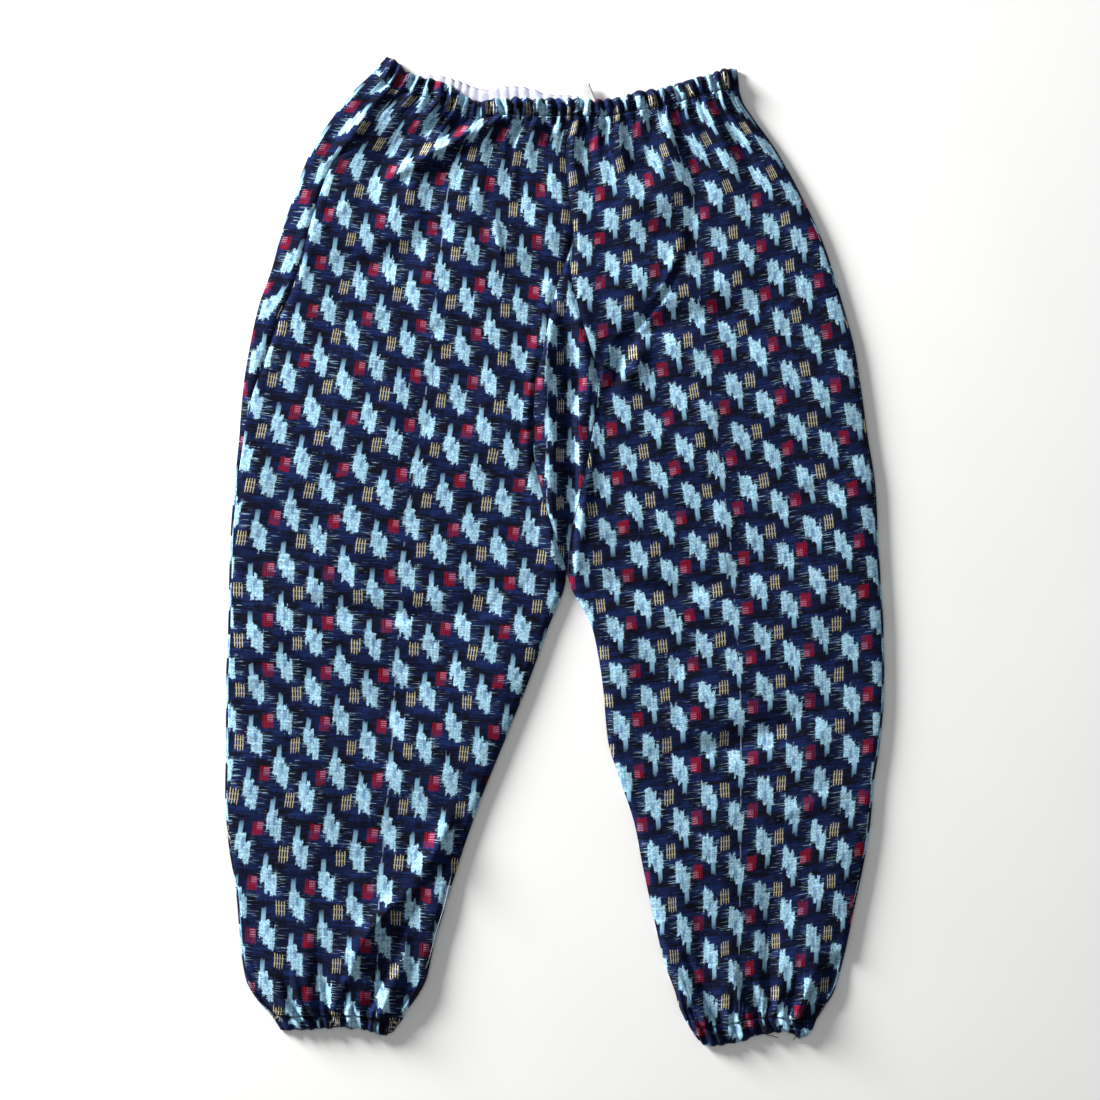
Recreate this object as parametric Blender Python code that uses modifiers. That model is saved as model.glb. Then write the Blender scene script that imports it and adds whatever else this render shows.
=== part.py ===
"""Monpe, gathered Japanese work trousers of double-ikat cotton, laid flat with the front up.

A place on the garment is given by two measures in millimetres: x, across from its
middle and positive to the viewer's right, and down, from the highest corner of the
waist. Heights are above the surface that the trousers lie on. The pieces carry the
wearer's side in their names, so the right leg is on the viewer's left.
"""

import collections
import math

import bmesh
import bpy
import numpy as np

MM = 0.001

# Driving dimensions, in millimetres. MIDDLE is the (x, down) of the middle of the garment's
# box, which becomes the origin.
MIDDLE = (0.12, 465.33)
SEAM_GAP = 0.3
SIDE_SEAM_GAP = 0.95
WALL = 1.8
BACK_WALL = 1.4
FACING_WALL = 1.0
TAPE_WALL = 1.0
TAPE_WIDTH = 10.5

# Heights of the top of the cloth where two layers meet at an edge, in millimetres
SIDE_HEIGHT = 3.6
WAIST_HEIGHT = 5.4
FACING_FLOOR = BACK_WALL + SEAM_GAP
FACING_RIB = 0.6
TAPE_FLOOR = FACING_FLOOR + FACING_WALL + FACING_RIB + SEAM_GAP

# Gathers drawn up by the elastic
WAIST_GATHERS = 36
WAIST_GATHER_HEIGHT = 1.3
YOKE_FOLD_HEIGHT = 1.6
YOKE_FOLD_REACH = 34
CUFF_GATHERS = 12
CUFF_GATHER_HEIGHT = 1.3
ANKLE_FOLD_REACH = 26
SCALLOP = 0.8

# Tape loop: its sewn foot and its fold as (x, down), how far its second run stands to one
# side at the foot, the radius of its fold, and each straight run's share of its length
TAPE_FOOT = (29.0, 50.0)
TAPE_PEAK = (28.0, 26.5)
TAPE_SPLAY = 7.5
TAPE_FOLD = 1.15
TAPE_RUN = 0.4

# How quickly the cloth rounds up from a folded edge, and the fold's own reach, in millimetres
EDGE_ROLL = 7
FOLD_REACH = 1.9

# Where the gusset starts and ends, and the stretch over which the inner legs begin to round
GUSSET_TOP = 177
CROTCH_DOWN = 487
CROTCH_SOFTENING = 50

# One row for each rib line of the front casing, from the wearer's right to left:
# where it meets the top edge and where it meets the leg panels
Rib = collections.namedtuple("Rib", "top_x top_down low_x low_down")
WAIST_RIBS = (
    Rib(-157.5, 0.4, -170.5, 16.0),
    Rib(-149.0, 4.7, -161.0, 23.5),
    Rib(-140.5, 14.0, -151.0, 32.0),
    Rib(-130.0, 19.0, -137.5, 36.5),
    Rib(-117.0, 22.5, -121.5, 40.5),
    Rib(-101.0, 27.0, -105.0, 45.0),
    Rib(-86.0, 36.5, -90.0, 53.5),
    Rib(-70.0, 43.0, -71.0, 60.0),
    Rib(-53.0, 40.5, -51.0, 57.5),
    Rib(-32.5, 40.5, -31.5, 57.5),
    Rib(-9.0, 40.5, -8.0, 57.5),
    Rib(15.5, 40.5, 15.5, 57.5),
    Rib(43.0, 41.5, 43.5, 58.5),
    Rib(69.0, 36.5, 72.0, 53.5),
    Rib(94.5, 32.0, 99.0, 49.0),
    Rib(121.5, 24.5, 127.5, 41.5),
    Rib(144.0, 18.0, 149.0, 35.5),
    Rib(159.0, 13.0, 162.0, 33.0),
    Rib(171.5, 12.5, 173.5, 33.0),
)
CENTRE_SEAM_RIB = 11

# How far the back waist stands above the front's top edge, by x
BACK_RISE = (
    (-157, -1.0), (-130, -0.5), (-122, 3.0), (-108, 5.5), (-97, 7.0), (-86, 11.0), (-72, 12.0),
    (-62, 9.5), (-50, 11.0), (-38, 11.0), (-20, 8.5), (-8, 4.5), (12, 3.0), (26, 1.5), (44, -0.5),
    (171, -1.0),
)

# Leg outlines, a row for each level down the leg
RIGHT_LEG_COLUMNS = ("down", "outer", "inner")
RIGHT_LEG = (
    (16, -171.5, 15.5), (38, -194, 15.5), (57.5, -209, 15.5), (90, -230, 10.5), (130, -245, 13),
    (169, -258, 17.5), (201, -266.5, 7), (235, -278.5, -2.5), (274, -287, -10), (312, -293, -18.5),
    (367, -297.5, -20), (406, -301.5, -12.5), (455, -305, 1.5), (488, -306, 11), (538, -307, -6),
    (590, -309, -25), (643, -309, -46.5), (696, -309.7, -68), (735, -307, -82), (788, -299, -99),
    (840, -294.5, -114), (867, -290, -120), (887, -279, -131), (900, -266.5, -141.5),
)
LEFT_LEG_COLUMNS = ("down", "inner", "outer")
LEFT_LEG = (
    (33, 15.5, 173.5), (44, 15.5, 177), (57.5, 15.5, 186), (90, 10.5, 209), (130, 13, 231),
    (169, 17.5, 249.5), (201, 15.5, 261), (235, 22, 271), (274, 33.5, 281.5), (307, 41, 287),
    (360, 34.5, 294.5), (406, 26, 301.5), (455, 14.5, 304), (488, 12.5, 306), (538, 35, 309),
    (590, 44.5, 309.7), (643, 49.5, 306), (682, 61.5, 300), (722, 74.5, 296.5), (761, 82, 290),
    (801, 90.5, 281.5), (854, 103, 270), (880, 112.5, 262), (893, 116, 254), (905, 121.5, 246),
)

# How far the back of the right leg rolls over its front, from the outline to the side seam
SIDE_ROLL = (
    (30, 30), (49, 33), (60, 32), (73, 29), (87, 22), (112, 21.5), (139, 22), (172, 24),
    (211, 23.5), (248, 20), (286, 14.5), (323, 8), (361, 4.5), (417, 2.8), (900, 2.5),
)
PLAIN_ROLL = ((30, 2.5), (905, 2.5))

# Rib lines of the two cuffs, each from the viewer's left to right
RIGHT_CUFF_RIBS = (
    Rib(-266.5, 900.0, -257.0, 915.5),
    Rib(-247.0, 901.5, -239.0, 914.5),
    Rib(-223.0, 901.5, -218.5, 913.5),
    Rib(-200.0, 900.5, -197.0, 912.5),
    Rib(-176.0, 902.5, -175.5, 915.5),
    Rib(-156.5, 905.0, -161.0, 920.0),
    Rib(-141.5, 903.5, -151.0, 916.5),
)
LEFT_CUFF_RIBS = (
    Rib(121.5, 903.5, 132.0, 921.0),
    Rib(137.0, 911.0, 144.5, 929.7),
    Rib(160.5, 909.5, 167.0, 927.5),
    Rib(184.0, 904.0, 190.5, 920.5),
    Rib(207.5, 902.5, 215.0, 916.5),
    Rib(228.0, 905.0, 232.5, 922.0),
    Rib(246.0, 905.0, 242.0, 915.5),
)

# How high the upper layer stands above its edges, by the level down the garment
LOFT = (
    (30, 5.8), (60, 5.0), (110, 3.8), (200, 3.2), (330, 3.4), (480, 2.8), (620, 2.8), (760, 3.4),
    (850, 4.6), (895, 4.6), (930, 3.6),
)

# The main folds: a soft ridge where rise is positive and a trough where it is negative,
# along a line through its start, bend and end
Fold = collections.namedtuple(
    "Fold", "start_x start_down bend_x bend_down end_x end_down width rise"
)
FOLDS = (
    # Lifted cloth that arches below the right half of the casing
    Fold(-159, 118, -102, 85, -44, 57, 8, 3.0),
    Fold(-44, 57, -21, 64, -6, 88, 8, 2.5),
    Fold(-153, 88, -115, 68, -76, 58, 9, -2.5),
    Fold(-204, 90, -187, 72, -166, 54, 8, 2.0),
    # Gusset, folded inwards along its middle
    Fold(5, 276, 16, 305, 7, 335, 7, -6.0),
    Fold(9, 333, 13, 399, 11, 483, 6, -6.0),
    # Pull from the gusset to the left hip
    Fold(73, 261, 63, 286, 50, 310, 6, -3.0),
    Fold(85, 265, 75, 291, 62, 316, 8, 2.5),
    Fold(54, 288, 94, 256, 176, 241, 12, -2.5),
    Fold(43, 220, 71, 211, 99, 194, 21, 2.0),
    Fold(57, 149, 85, 135, 118, 126, 19, 2.0),
    # Hollows under the waist
    Fold(-211, 194, -155, 194, -108, 159, 15, -2.0),
    Fold(-61, 194, -23, 206, 11, 196, 15, -2.2),
    Fold(114, 159, 137, 178, 148, 201, 13, -2.0),
    # Creases across the thighs and knees
    Fold(-239, 515, -155, 525, -64, 523, 9, -1.8),
    Fold(-256, 545, -211, 588, -160, 620, 11, -1.8),
    Fold(35, 483, 99, 504, 178, 489, 9, -1.8),
    Fold(101, 654, 174, 645, 251, 609, 13, -2.5),
    # Fold that winds down the right shin, and the hollow beside it
    Fold(-96, 711, -110, 743, -126, 769, 8, 3.5),
    Fold(-132, 784, -160, 807, -192, 846, 8, 4.0),
    Fold(-119, 778, -149, 822, -177, 878, 13, -3.0),
    Fold(-145, 850, -157, 873, -164, 897, 8, 2.5),
    # Folds that run into the left cuff
    Fold(133, 870, 146, 891, 159, 912, 6, -3.0),
    Fold(266, 850, 251, 878, 231, 910, 7, -3.0),
    Fold(179, 873, 186, 892, 186, 910, 6, -2.5),
    Fold(203, 775, 207, 822, 203, 859, 24, -2.0),
)
FOLD_STEPS = 14

# Levels of the leg panels' rows at their inner edge, shared by every piece that meets them:
# faces from the casing to the gusset, along the gusset, and from there to the cuff
SEAM_TOP = WAIST_RIBS[CENTRE_SEAM_RIB].low_down
SEAM_END = RIGHT_CUFF_RIBS[-1].top_down
YOKE_ROWS = 6
GUSSET_ROWS = 9
LOWER_ROWS = 11
LEG_ROWS = YOKE_ROWS + GUSSET_ROWS + LOWER_ROWS

# Grid sizes, in faces across and down
LEG_COLUMNS = 32
FLAT_COLUMNS = 7
ROLL_COLUMNS = 4
GUSSET_COLUMNS = 8
BACK_GUSSET_COLUMNS = 2
CASING_FACES = (WAIST_GATHERS * 4, 2)
FACING_FACES = (WAIST_GATHERS * 3, 1)
TAPE_FACES = (1, 10)
CUFF_FACES = (CUFF_GATHERS * 4, 2)

# Columns of the side that is rolled over, as shares of the way to its seam. The last one
# lies level, so that the cloth's edge stands upright there.
LEVEL_FROM = 0.9
WIDE_ROLL_SHARES = (0.25, 0.5, 0.75, LEVEL_FROM, 1.0)
PLAIN_ROLL_SHARES = (LEVEL_FROM, 1.0)

NAVY = (0.012, 0.018, 0.062)
WHITE = (0.78, 0.79, 0.84)


def smooth_through(rows, at, column=1):
    """A smooth curve through a table's rows, read at these values of its first column.

    It keeps each rise or fall between two rows free of overshoot."""
    known = np.array([row[0] for row in rows], float)
    value = np.array([row[column] for row in rows], float)
    step = np.diff(known)
    slope = np.diff(value) / step
    tangent = np.zeros_like(value)
    same_way = slope[:-1] * slope[1:] > 0
    total = np.where(same_way, slope[:-1] + slope[1:], 1)
    tangent[1:-1] = np.where(same_way, 2 * slope[:-1] * slope[1:] / total, 0)
    tangent[0] = slope[0]
    tangent[-1] = slope[-1]
    at = np.clip(at, known[0], known[-1])
    row = np.clip(np.searchsorted(known, at) - 1, 0, len(step) - 1)
    part = (at - known[row]) / step[row]
    square = part * part
    cube = square * part
    return (
        value[row] * (2 * cube - 3 * square + 1)
        + value[row + 1] * (3 * square - 2 * cube)
        + tangent[row] * step[row] * (cube - 2 * square + part)
        + tangent[row + 1] * step[row] * (cube - square)
    )


def rib_lines(ribs):
    """A table of a casing's ribs with their place along its top edge, from 0 to 1, put first."""
    along = [0.0]
    for before, after in zip(ribs, ribs[1:]):
        reach = math.hypot(after.top_x - before.top_x, after.top_down - before.top_down)
        along.append(along[-1] + reach)
    return [(place / along[-1], *rib) for place, rib in zip(along, ribs)]


WAIST = rib_lines(WAIST_RIBS)
RIGHT_CUFF = rib_lines(RIGHT_CUFF_RIBS)
LEFT_CUFF = rib_lines(LEFT_CUFF_RIBS)
CENTRE_SEAM = WAIST[CENTRE_SEAM_RIB][0]


def casing_plan(lines, along, across):
    """Where a point of a casing lies: across is 0 at its top edge and 1 at its seam."""
    top_x, top_down, low_x, low_down = (smooth_through(lines, along, i) for i in (1, 2, 3, 4))
    return top_x + (low_x - top_x) * across, top_down + (low_down - top_down) * across


def soft_step(value):
    value = np.clip(value, 0, 1)
    return value * value * (3 - 2 * value)


def fold_height(fold, x, down):
    """Height that one fold adds: round across its line, and fading towards its ends."""
    step = np.linspace(0, 1, FOLD_STEPS)
    start, bend, end = (1 - step) * (1 - 2 * step), 4 * step * (1 - step), step * (2 * step - 1)
    line_x = start * fold.start_x + bend * fold.bend_x + end * fold.end_x
    line_down = start * fold.start_down + bend * fold.bend_down + end * fold.end_down
    apart = np.hypot(x[:, None] - line_x, down[:, None] - line_down)
    nearest = apart.argmin(axis=1)
    fade = 0.35 + 0.65 * np.sin(np.pi * step[nearest])
    return fold.rise * fade * np.exp(-((apart.min(axis=1) / fold.width) ** 2))


def front_height(x, down):
    """Height of the top of the front, without the gathers that the elastic draws up."""
    outer_right = x - smooth_through(RIGHT_LEG, down, 1)
    outer_left = smooth_through(LEFT_LEG, down, 2) - x
    inner_right = smooth_through(RIGHT_LEG, down, 2) - x
    inner_left = x - smooth_through(LEFT_LEG, down, 1)
    from_side = np.maximum(np.minimum(outer_right, outer_left), 0)
    from_inseam = np.maximum(np.maximum(inner_right, inner_left), 0)
    side_roll = 1 - np.exp(-from_side / EDGE_ROLL)
    parted = soft_step((down - CROTCH_DOWN + CROTCH_SOFTENING / 2) / CROTCH_SOFTENING)
    inseam_roll = 1 - parted * np.exp(-from_inseam / EDGE_ROLL)
    stands = smooth_through(LOFT, down)
    for fold in FOLDS:
        stands = stands + fold_height(fold, x, down)
    lift = (WAIST_HEIGHT - SIDE_HEIGHT) * np.exp(-np.maximum(down - 35, 0) / 30)
    return SIDE_HEIGHT + lift + np.maximum(stands, 0) * side_roll * inseam_roll


def waist_phase(along):
    """Angle of the gathers along the waist, which lie closer in some places than in others."""
    turns = 2 * np.pi * along
    return WAIST_GATHERS * turns + 1.1 * np.sin(3.3 * turns + 0.6) + 0.8 * np.sin(7.1 * turns + 2)


def gather_strength(along):
    """Gathers are uneven in height, and die away at the two ends of a casing."""
    ends = soft_step(np.minimum(along, 1 - along) / 0.04)
    return ends * (1 + 0.3 * np.sin(2 * np.pi * 5.3 * along + 1))


def cuff_phase(along):
    turns = 2 * np.pi * along
    return CUFF_GATHERS * turns + 0.7 * np.sin(2.3 * turns + 1)


class Leg:
    """One leg: its outline, its stretch of the casing, its cuff and its side seam."""

    def __init__(self, sections, columns, casing_ends, cuff, side_roll):
        self.sections = sections
        self.outer = columns.index("outer")
        self.inner = columns.index("inner")
        self.casing_ends = casing_ends
        self.cuff = cuff if self.outer < self.inner else [
            (1 - row[0], *row[1:]) for row in reversed(cuff)
        ]
        self.side_roll = side_roll

    def along_waist(self, across):
        start, end = self.casing_ends
        return start + (end - start) * across

    def corners(self):
        """Levels of the leg's top and bottom, first at the outer side and then at the inner."""
        tops = [casing_plan(WAIST, np.array([end]), 1)[1][0] for end in self.casing_ends]
        return tops, (self.cuff[0][2], self.cuff[-1][2])

    def plan(self, across, fall):
        """Where a point of the leg lies: across is 0 at the outer side, fall is 0 at the waist.

        The four edges are blended, so a level line follows the casing, then the cuff."""
        top_x, top_down = casing_plan(WAIST, self.along_waist(across), 1)
        low_x, low_down = casing_plan(self.cuff, across, 0)
        tops, lows = self.corners()
        outer_down = tops[0] + (lows[0] - tops[0]) * fall
        inner_down = tops[1] + (lows[1] - tops[1]) * fall
        outer_x = smooth_through(self.sections, outer_down, self.outer)
        inner_x = smooth_through(self.sections, inner_down, self.inner)
        straight_top_x = self.edge_x(self.outer, tops[0]) * (1 - across)
        straight_top_x = straight_top_x + self.edge_x(self.inner, tops[1]) * across
        straight_low_x = self.edge_x(self.outer, lows[0]) * (1 - across)
        straight_low_x = straight_low_x + self.edge_x(self.inner, lows[1]) * across
        straight_top_down = tops[0] * (1 - across) + tops[1] * across
        straight_low_down = lows[0] * (1 - across) + lows[1] * across
        x = outer_x * (1 - across) + inner_x * across
        x = x + (top_x - straight_top_x) * (1 - fall) + (low_x - straight_low_x) * fall
        down = outer_down * (1 - across) + inner_down * across
        down = down + (top_down - straight_top_down) * (1 - fall)
        return x, down + (low_down - straight_low_down) * fall

    def edge_x(self, column, down):
        return smooth_through(self.sections, np.array([float(down)]), column)[0]

    def width(self, fall):
        outer_x, _ = self.plan(np.zeros_like(fall), fall)
        inner_x, _ = self.plan(np.ones_like(fall), fall)
        return np.abs(inner_x - outer_x)

    def seam_share(self, fall):
        """How far across the leg its side seam lies, as a share of the leg's width."""
        _, outer_down = self.plan(np.zeros_like(fall), fall)
        return smooth_through(self.side_roll, outer_down) / self.width(fall)

    def flat_spots(self, fall):
        """Places across one end of the leg where the back panel's columns meet its casing."""
        inset = FOLD_REACH / self.width(np.array([float(fall)]))[0]
        share = np.arange(FLAT_COLUMNS + 1) / FLAT_COLUMNS
        return np.concatenate([[0.0], inset + (1 - inset) * share])

    def height(self, x, down, across, fall):
        """Top of the leg's upper layer, with the folds that fan out from the two casings."""
        tops, lows = self.corners()
        length = np.mean(lows) - np.mean(tops)
        along = self.along_waist(across)
        yoke = np.cos(waist_phase(along) / 2) * gather_strength(along) * YOKE_FOLD_HEIGHT
        ankle = np.cos(cuff_phase(across) / 2) * gather_strength(across) * YOKE_FOLD_HEIGHT
        from_waist = np.exp(-fall * length / YOKE_FOLD_REACH)
        from_cuff = np.exp(-(1 - fall) * length / ANKLE_FOLD_REACH)
        height = front_height(x, down) + yoke * from_waist + ankle * from_cuff
        return np.maximum(height, SIDE_HEIGHT)


RIGHT = Leg(RIGHT_LEG, RIGHT_LEG_COLUMNS, (0.0, CENTRE_SEAM), RIGHT_CUFF, SIDE_ROLL)
LEFT = Leg(LEFT_LEG, LEFT_LEG_COLUMNS, (1.0, CENTRE_SEAM), LEFT_CUFF, PLAIN_ROLL)


def clear_scene():
    for item in list(bpy.data.objects):
        bpy.data.objects.remove(item, do_unlink=True)


def new_collection(name):
    collection = bpy.data.collections.new(name)
    bpy.context.scene.collection.children.link(collection)
    return collection


def cloth_material(name, colour, roughness):
    material = bpy.data.materials.new(name)
    material.use_nodes = True
    shader = material.node_tree.nodes["Principled BSDF"]
    shader.inputs["Base Color"].default_value = (*colour, 1)
    shader.inputs["Roughness"].default_value = roughness
    shader.inputs["Metallic"].default_value = 0
    material.diffuse_color = (*colour, 1)
    return material


def new_piece(name, bm, collection, colour):
    mesh = bpy.data.meshes.new(name)
    bm.to_mesh(mesh)
    bm.free()
    mesh.shade_smooth()
    mesh.materials.append(cloth_material(name, colour, 0.9))
    piece = bpy.data.objects.new(name, mesh)
    collection.objects.link(piece)
    return piece


def place(vertex, x, down, height):
    """Puts a point in the model's own frame: +Y towards the waist and +Z up."""
    vertex.co = ((x - MIDDLE[0]) * MM, (MIDDLE[1] - down) * MM, height * MM)


def grid(faces):
    """A flat grid, with each point's place across it and down it, both from 0 to 1."""
    bm = bmesh.new()
    bmesh.ops.create_grid(bm, x_segments=faces[0], y_segments=faces[1], size=0.5)
    vertices = list(bm.verts)
    across = np.array([vertex.co.x for vertex in vertices]) + 0.5
    down = 0.5 - np.array([vertex.co.y for vertex in vertices])
    return bm, vertices, across, down


def closer_at_ends(share, strength):
    """Moves evenly spaced shares towards 0 and 1."""
    return share - strength * np.sin(2 * np.pi * share) / (2 * np.pi)


def leg_levels():
    """Each row's place down a leg, from 0 to 1, with the rows closer at waist and ankle."""
    yoke = (np.arange(YOKE_ROWS) / YOKE_ROWS) ** 1.3
    gusset = np.arange(GUSSET_ROWS) / GUSSET_ROWS
    lower = 1 - (1 - np.arange(LOWER_ROWS + 1) / LOWER_ROWS) ** 1.3
    down = np.concatenate([
        SEAM_TOP + (GUSSET_TOP - SEAM_TOP) * yoke,
        GUSSET_TOP + (CROTCH_DOWN - GUSSET_TOP) * gusset,
        CROTCH_DOWN + (SEAM_END - CROTCH_DOWN) * lower,
    ])
    return (down - SEAM_TOP) / (SEAM_END - SEAM_TOP)


LEVELS = leg_levels()


def at_level(fall, first=0, last=LEG_ROWS):
    """Reads the rows' levels in place of a grid's evenly spaced ones."""
    return LEVELS[first + np.rint(fall * (last - first)).astype(int)]


def wall(name, collection, faces, shape, colour=NAVY):
    """A cloth wall: a grid moved by shape, which gives x, down, top and underside."""
    bm, vertices, across, fall = grid(faces)
    x, down, top, under = (np.broadcast_to(part, across.shape) for part in shape(across, fall))
    for vertex, *spot in zip(vertices, x, down, top):
        place(vertex, *spot)
    extruded = bmesh.ops.extrude_face_region(bm, geom=bm.faces[:])
    lower = [item for item in extruded["geom"] if isinstance(item, bmesh.types.BMVert)]
    bottom_at = {}
    for vertex, height in zip(vertices, under):
        bottom_at[tuple(vertex.co)] = height * MM
    for vertex in lower:
        vertex.co.z = bottom_at[tuple(vertex.co)]
    bmesh.ops.recalc_face_normals(bm, faces=bm.faces)
    return new_piece(name, bm, collection, colour)


def front_leg(name, collection, leg, gap_side):
    """Front panel, from the side seam to the centre seam, the gusset and the inner leg."""

    def shape(across, fall):
        across = closer_at_ends(across, 0.3)
        fall = at_level(fall)
        seam = leg.seam_share(fall)
        spot = seam + (1 - seam) * across
        x, down = leg.plan(spot, fall)
        top = leg.height(x, down, spot, fall)
        tuck = SEAM_GAP / 2 * across - SIDE_SEAM_GAP * (1 - across)
        x = x - gap_side * tuck
        return x, down + end_gap(fall), top, top - WALL

    return wall(name, collection, (LEG_COLUMNS, LEG_ROWS), shape)


def end_gap(fall):
    """Shift that parts a leg panel from the casing above it and the cuff below."""
    return SEAM_GAP * (1.7 * (1 - fall) - fall)


def gusset_plan(across, fall):
    fall = at_level(fall, YOKE_ROWS, YOKE_ROWS + GUSSET_ROWS)
    down = SEAM_TOP + (SEAM_END - SEAM_TOP) * fall
    right = smooth_through(RIGHT_LEG, down, 2) + SEAM_GAP / 2
    left = smooth_through(LEFT_LEG, down, 1) - SEAM_GAP / 2
    return right + (left - right) * across, down


def front_gusset(collection):
    def shape(across, fall):
        x, down = gusset_plan(across, fall)
        top = np.maximum(front_height(x, down), SIDE_HEIGHT)
        return x, down, top, top - WALL

    return wall("gusset_front", collection, (GUSSET_COLUMNS, GUSSET_ROWS), shape)


def back_gusset(collection):
    def shape(across, fall):
        x, down = gusset_plan(across, fall)
        return x, down, BACK_WALL, 0.0

    return wall("gusset_back", collection, (BACK_GUSSET_COLUMNS, GUSSET_ROWS), shape)


def back_leg(name, collection, leg, over_shares, outward):
    """Back panel: flat on the surface, round its outer edge and over to the side seam."""
    ring = [("flat", 1 - i / FLAT_COLUMNS) for i in range(FLAT_COLUMNS)]
    ring += [("roll", i / ROLL_COLUMNS) for i in range(ROLL_COLUMNS + 1)]
    ring += [("over", share) for share in over_shares]
    bm, vertices, across, fall = grid((len(ring) - 1, LEG_ROWS))
    step = np.rint(across * (len(ring) - 1)).astype(int)
    fall = at_level(fall)
    width = leg.width(fall)
    inset = FOLD_REACH / width
    kind = np.array([part for part, _ in ring])[step]
    share = np.array([part for _, part in ring])[step]
    flat = inset + (1 - inset - SEAM_GAP / 2 / width) * share
    roll = inset * (1 - np.sin(np.pi * share))
    over = inset + (leg.seam_share(fall) - inset) * share
    spot = np.select([kind == "flat", kind == "roll"], [flat, roll], over)
    x, down = leg.plan(spot, fall)
    rolled_to = leg.height(*leg.plan(inset, fall), inset, fall)
    rising = rolled_to * (1 - np.cos(np.pi * share)) / 2
    level = inset + (leg.seam_share(fall) - inset) * np.minimum(share, LEVEL_FROM)
    laid_over = leg.height(*leg.plan(level, fall), level, fall)
    height = np.select([kind == "flat", kind == "roll"], [0.0, rising], laid_over)
    down = down + end_gap(fall)
    for vertex, *spot in zip(vertices, x, down, height):
        place(vertex, *spot)
    if not outward:
        bmesh.ops.reverse_faces(bm, faces=bm.faces)
    piece = new_piece(name, bm, collection, NAVY)
    thick = piece.modifiers.new("cloth thickness", "SOLIDIFY")
    thick.thickness = BACK_WALL * MM
    thick.offset = -1
    return piece


def back_rise(along):
    """Plan shift of the back waist above the front's top edge."""
    top_x, _ = casing_plan(WAIST, along, 0)
    return smooth_through(BACK_RISE, top_x)


def front_casing(collection):
    def shape(along, across):
        x, down = casing_plan(WAIST, along, across)
        wave = np.cos(waist_phase(along)) * gather_strength(along)
        down = down - SCALLOP * wave * (1 - across) ** 2
        ends = 1 - np.exp(-np.minimum(along, 1 - along) * 330 / EDGE_ROLL)
        loft = smooth_through(LOFT, down) * ends * (0.72 + 0.28 * np.sin(np.pi * across / 1.2))
        top = WAIST_HEIGHT + loft + WAIST_GATHER_HEIGHT * wave
        return x, down, top, top - WALL

    return wall("waistband_front", collection, CASING_FACES, shape)


def back_casing(collection):
    right = RIGHT.along_waist(RIGHT.flat_spots(0))
    left = LEFT.along_waist(LEFT.flat_spots(0))
    columns = np.concatenate([right, left[-2::-1]])

    def shape(share, across):
        along = columns[np.rint(share * (len(columns) - 1)).astype(int)]
        x, down = casing_plan(WAIST, along, across)
        down = down - back_rise(along) * (1 - across)
        return x, down, BACK_WALL, 0.0

    return wall("waistband_back", collection, (len(columns) - 1, 1), shape)


def back_facing(collection):
    """White facing, ribbed by the gathers over a plain underside."""

    def shape(along, across):
        x, down = casing_plan(WAIST, along, across)
        wave = np.cos(waist_phase(along)) * gather_strength(along)
        down = down - (back_rise(along) + SCALLOP * wave + 0.5) * (1 - across)
        under = FACING_FLOOR
        return x, down, under + FACING_WALL + FACING_RIB * (0.5 + 0.5 * wave / 1.3), under

    return wall("back_facing", collection, FACING_FACES, shape, WHITE)


def tape_loop(collection):
    """Flat tape, doubled, with its fold standing out above the front edge."""
    bm, vertices, across, share = grid(TAPE_FACES)
    run = np.clip(np.minimum(share, 1 - share) / TAPE_RUN, 0, 1)
    turn = np.pi * np.clip((share - TAPE_RUN) / (1 - 2 * TAPE_RUN), 0, 1)
    down = TAPE_FOOT[1] + (TAPE_PEAK[1] + TAPE_FOLD - TAPE_FOOT[1]) * run - TAPE_FOLD * np.sin(turn)
    height = TAPE_FLOOR + TAPE_FOLD * (1 - np.cos(turn))
    middle = TAPE_FOOT[0] + (TAPE_PEAK[0] - TAPE_FOOT[0]) * run
    middle = middle + np.where(share > 0.5, TAPE_SPLAY * (1 - run), 0)
    for vertex, *spot in zip(vertices, middle + (across - 0.5) * TAPE_WIDTH, down, height):
        place(vertex, *spot)
    piece = new_piece("tape_loop", bm, collection, WHITE)
    thick = piece.modifiers.new("tape thickness", "SOLIDIFY")
    thick.thickness = TAPE_WALL * MM
    thick.offset = -1
    return piece


def front_cuff(name, collection, leg):
    def shape(along, across):
        x, down = casing_plan(leg.cuff, along, across)
        wave = np.cos(cuff_phase(along)) * gather_strength(along)
        down = down + SCALLOP * wave * across**2
        ends = 1 - np.exp(-np.minimum(along, 1 - along) * 125 / EDGE_ROLL)
        loft = smooth_through(LOFT, down) * ends * (1 - 0.25 * across)
        top = SIDE_HEIGHT + loft + CUFF_GATHER_HEIGHT * wave
        top = np.maximum(top, SIDE_HEIGHT)
        return x, down, top, top - WALL

    return wall(name, collection, CUFF_FACES, shape)


def back_cuff(name, collection, leg):
    columns = leg.flat_spots(1)

    def shape(share, across):
        along = columns[np.rint(share * (len(columns) - 1)).astype(int)]
        x, down = casing_plan(leg.cuff, along, across)
        return x, down, BACK_WALL, 0.0

    return wall(name, collection, (len(columns) - 1, 1), shape)


def main():
    clear_scene()
    trousers = new_collection("monpe_trousers")
    front_leg("front_right_leg", trousers, RIGHT, 1)
    front_leg("front_left_leg", trousers, LEFT, -1)
    back_leg("back_right_leg", trousers, RIGHT, WIDE_ROLL_SHARES, True)
    back_leg("back_left_leg", trousers, LEFT, PLAIN_ROLL_SHARES, False)
    front_gusset(trousers)
    back_gusset(trousers)
    front_casing(trousers)
    back_casing(trousers)
    back_facing(trousers)
    tape_loop(trousers)
    for side, leg in (("right", RIGHT), ("left", LEFT)):
        front_cuff(f"cuff_{side}_front", trousers, leg)
        back_cuff(f"cuff_{side}_back", trousers, leg)


main()
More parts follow.
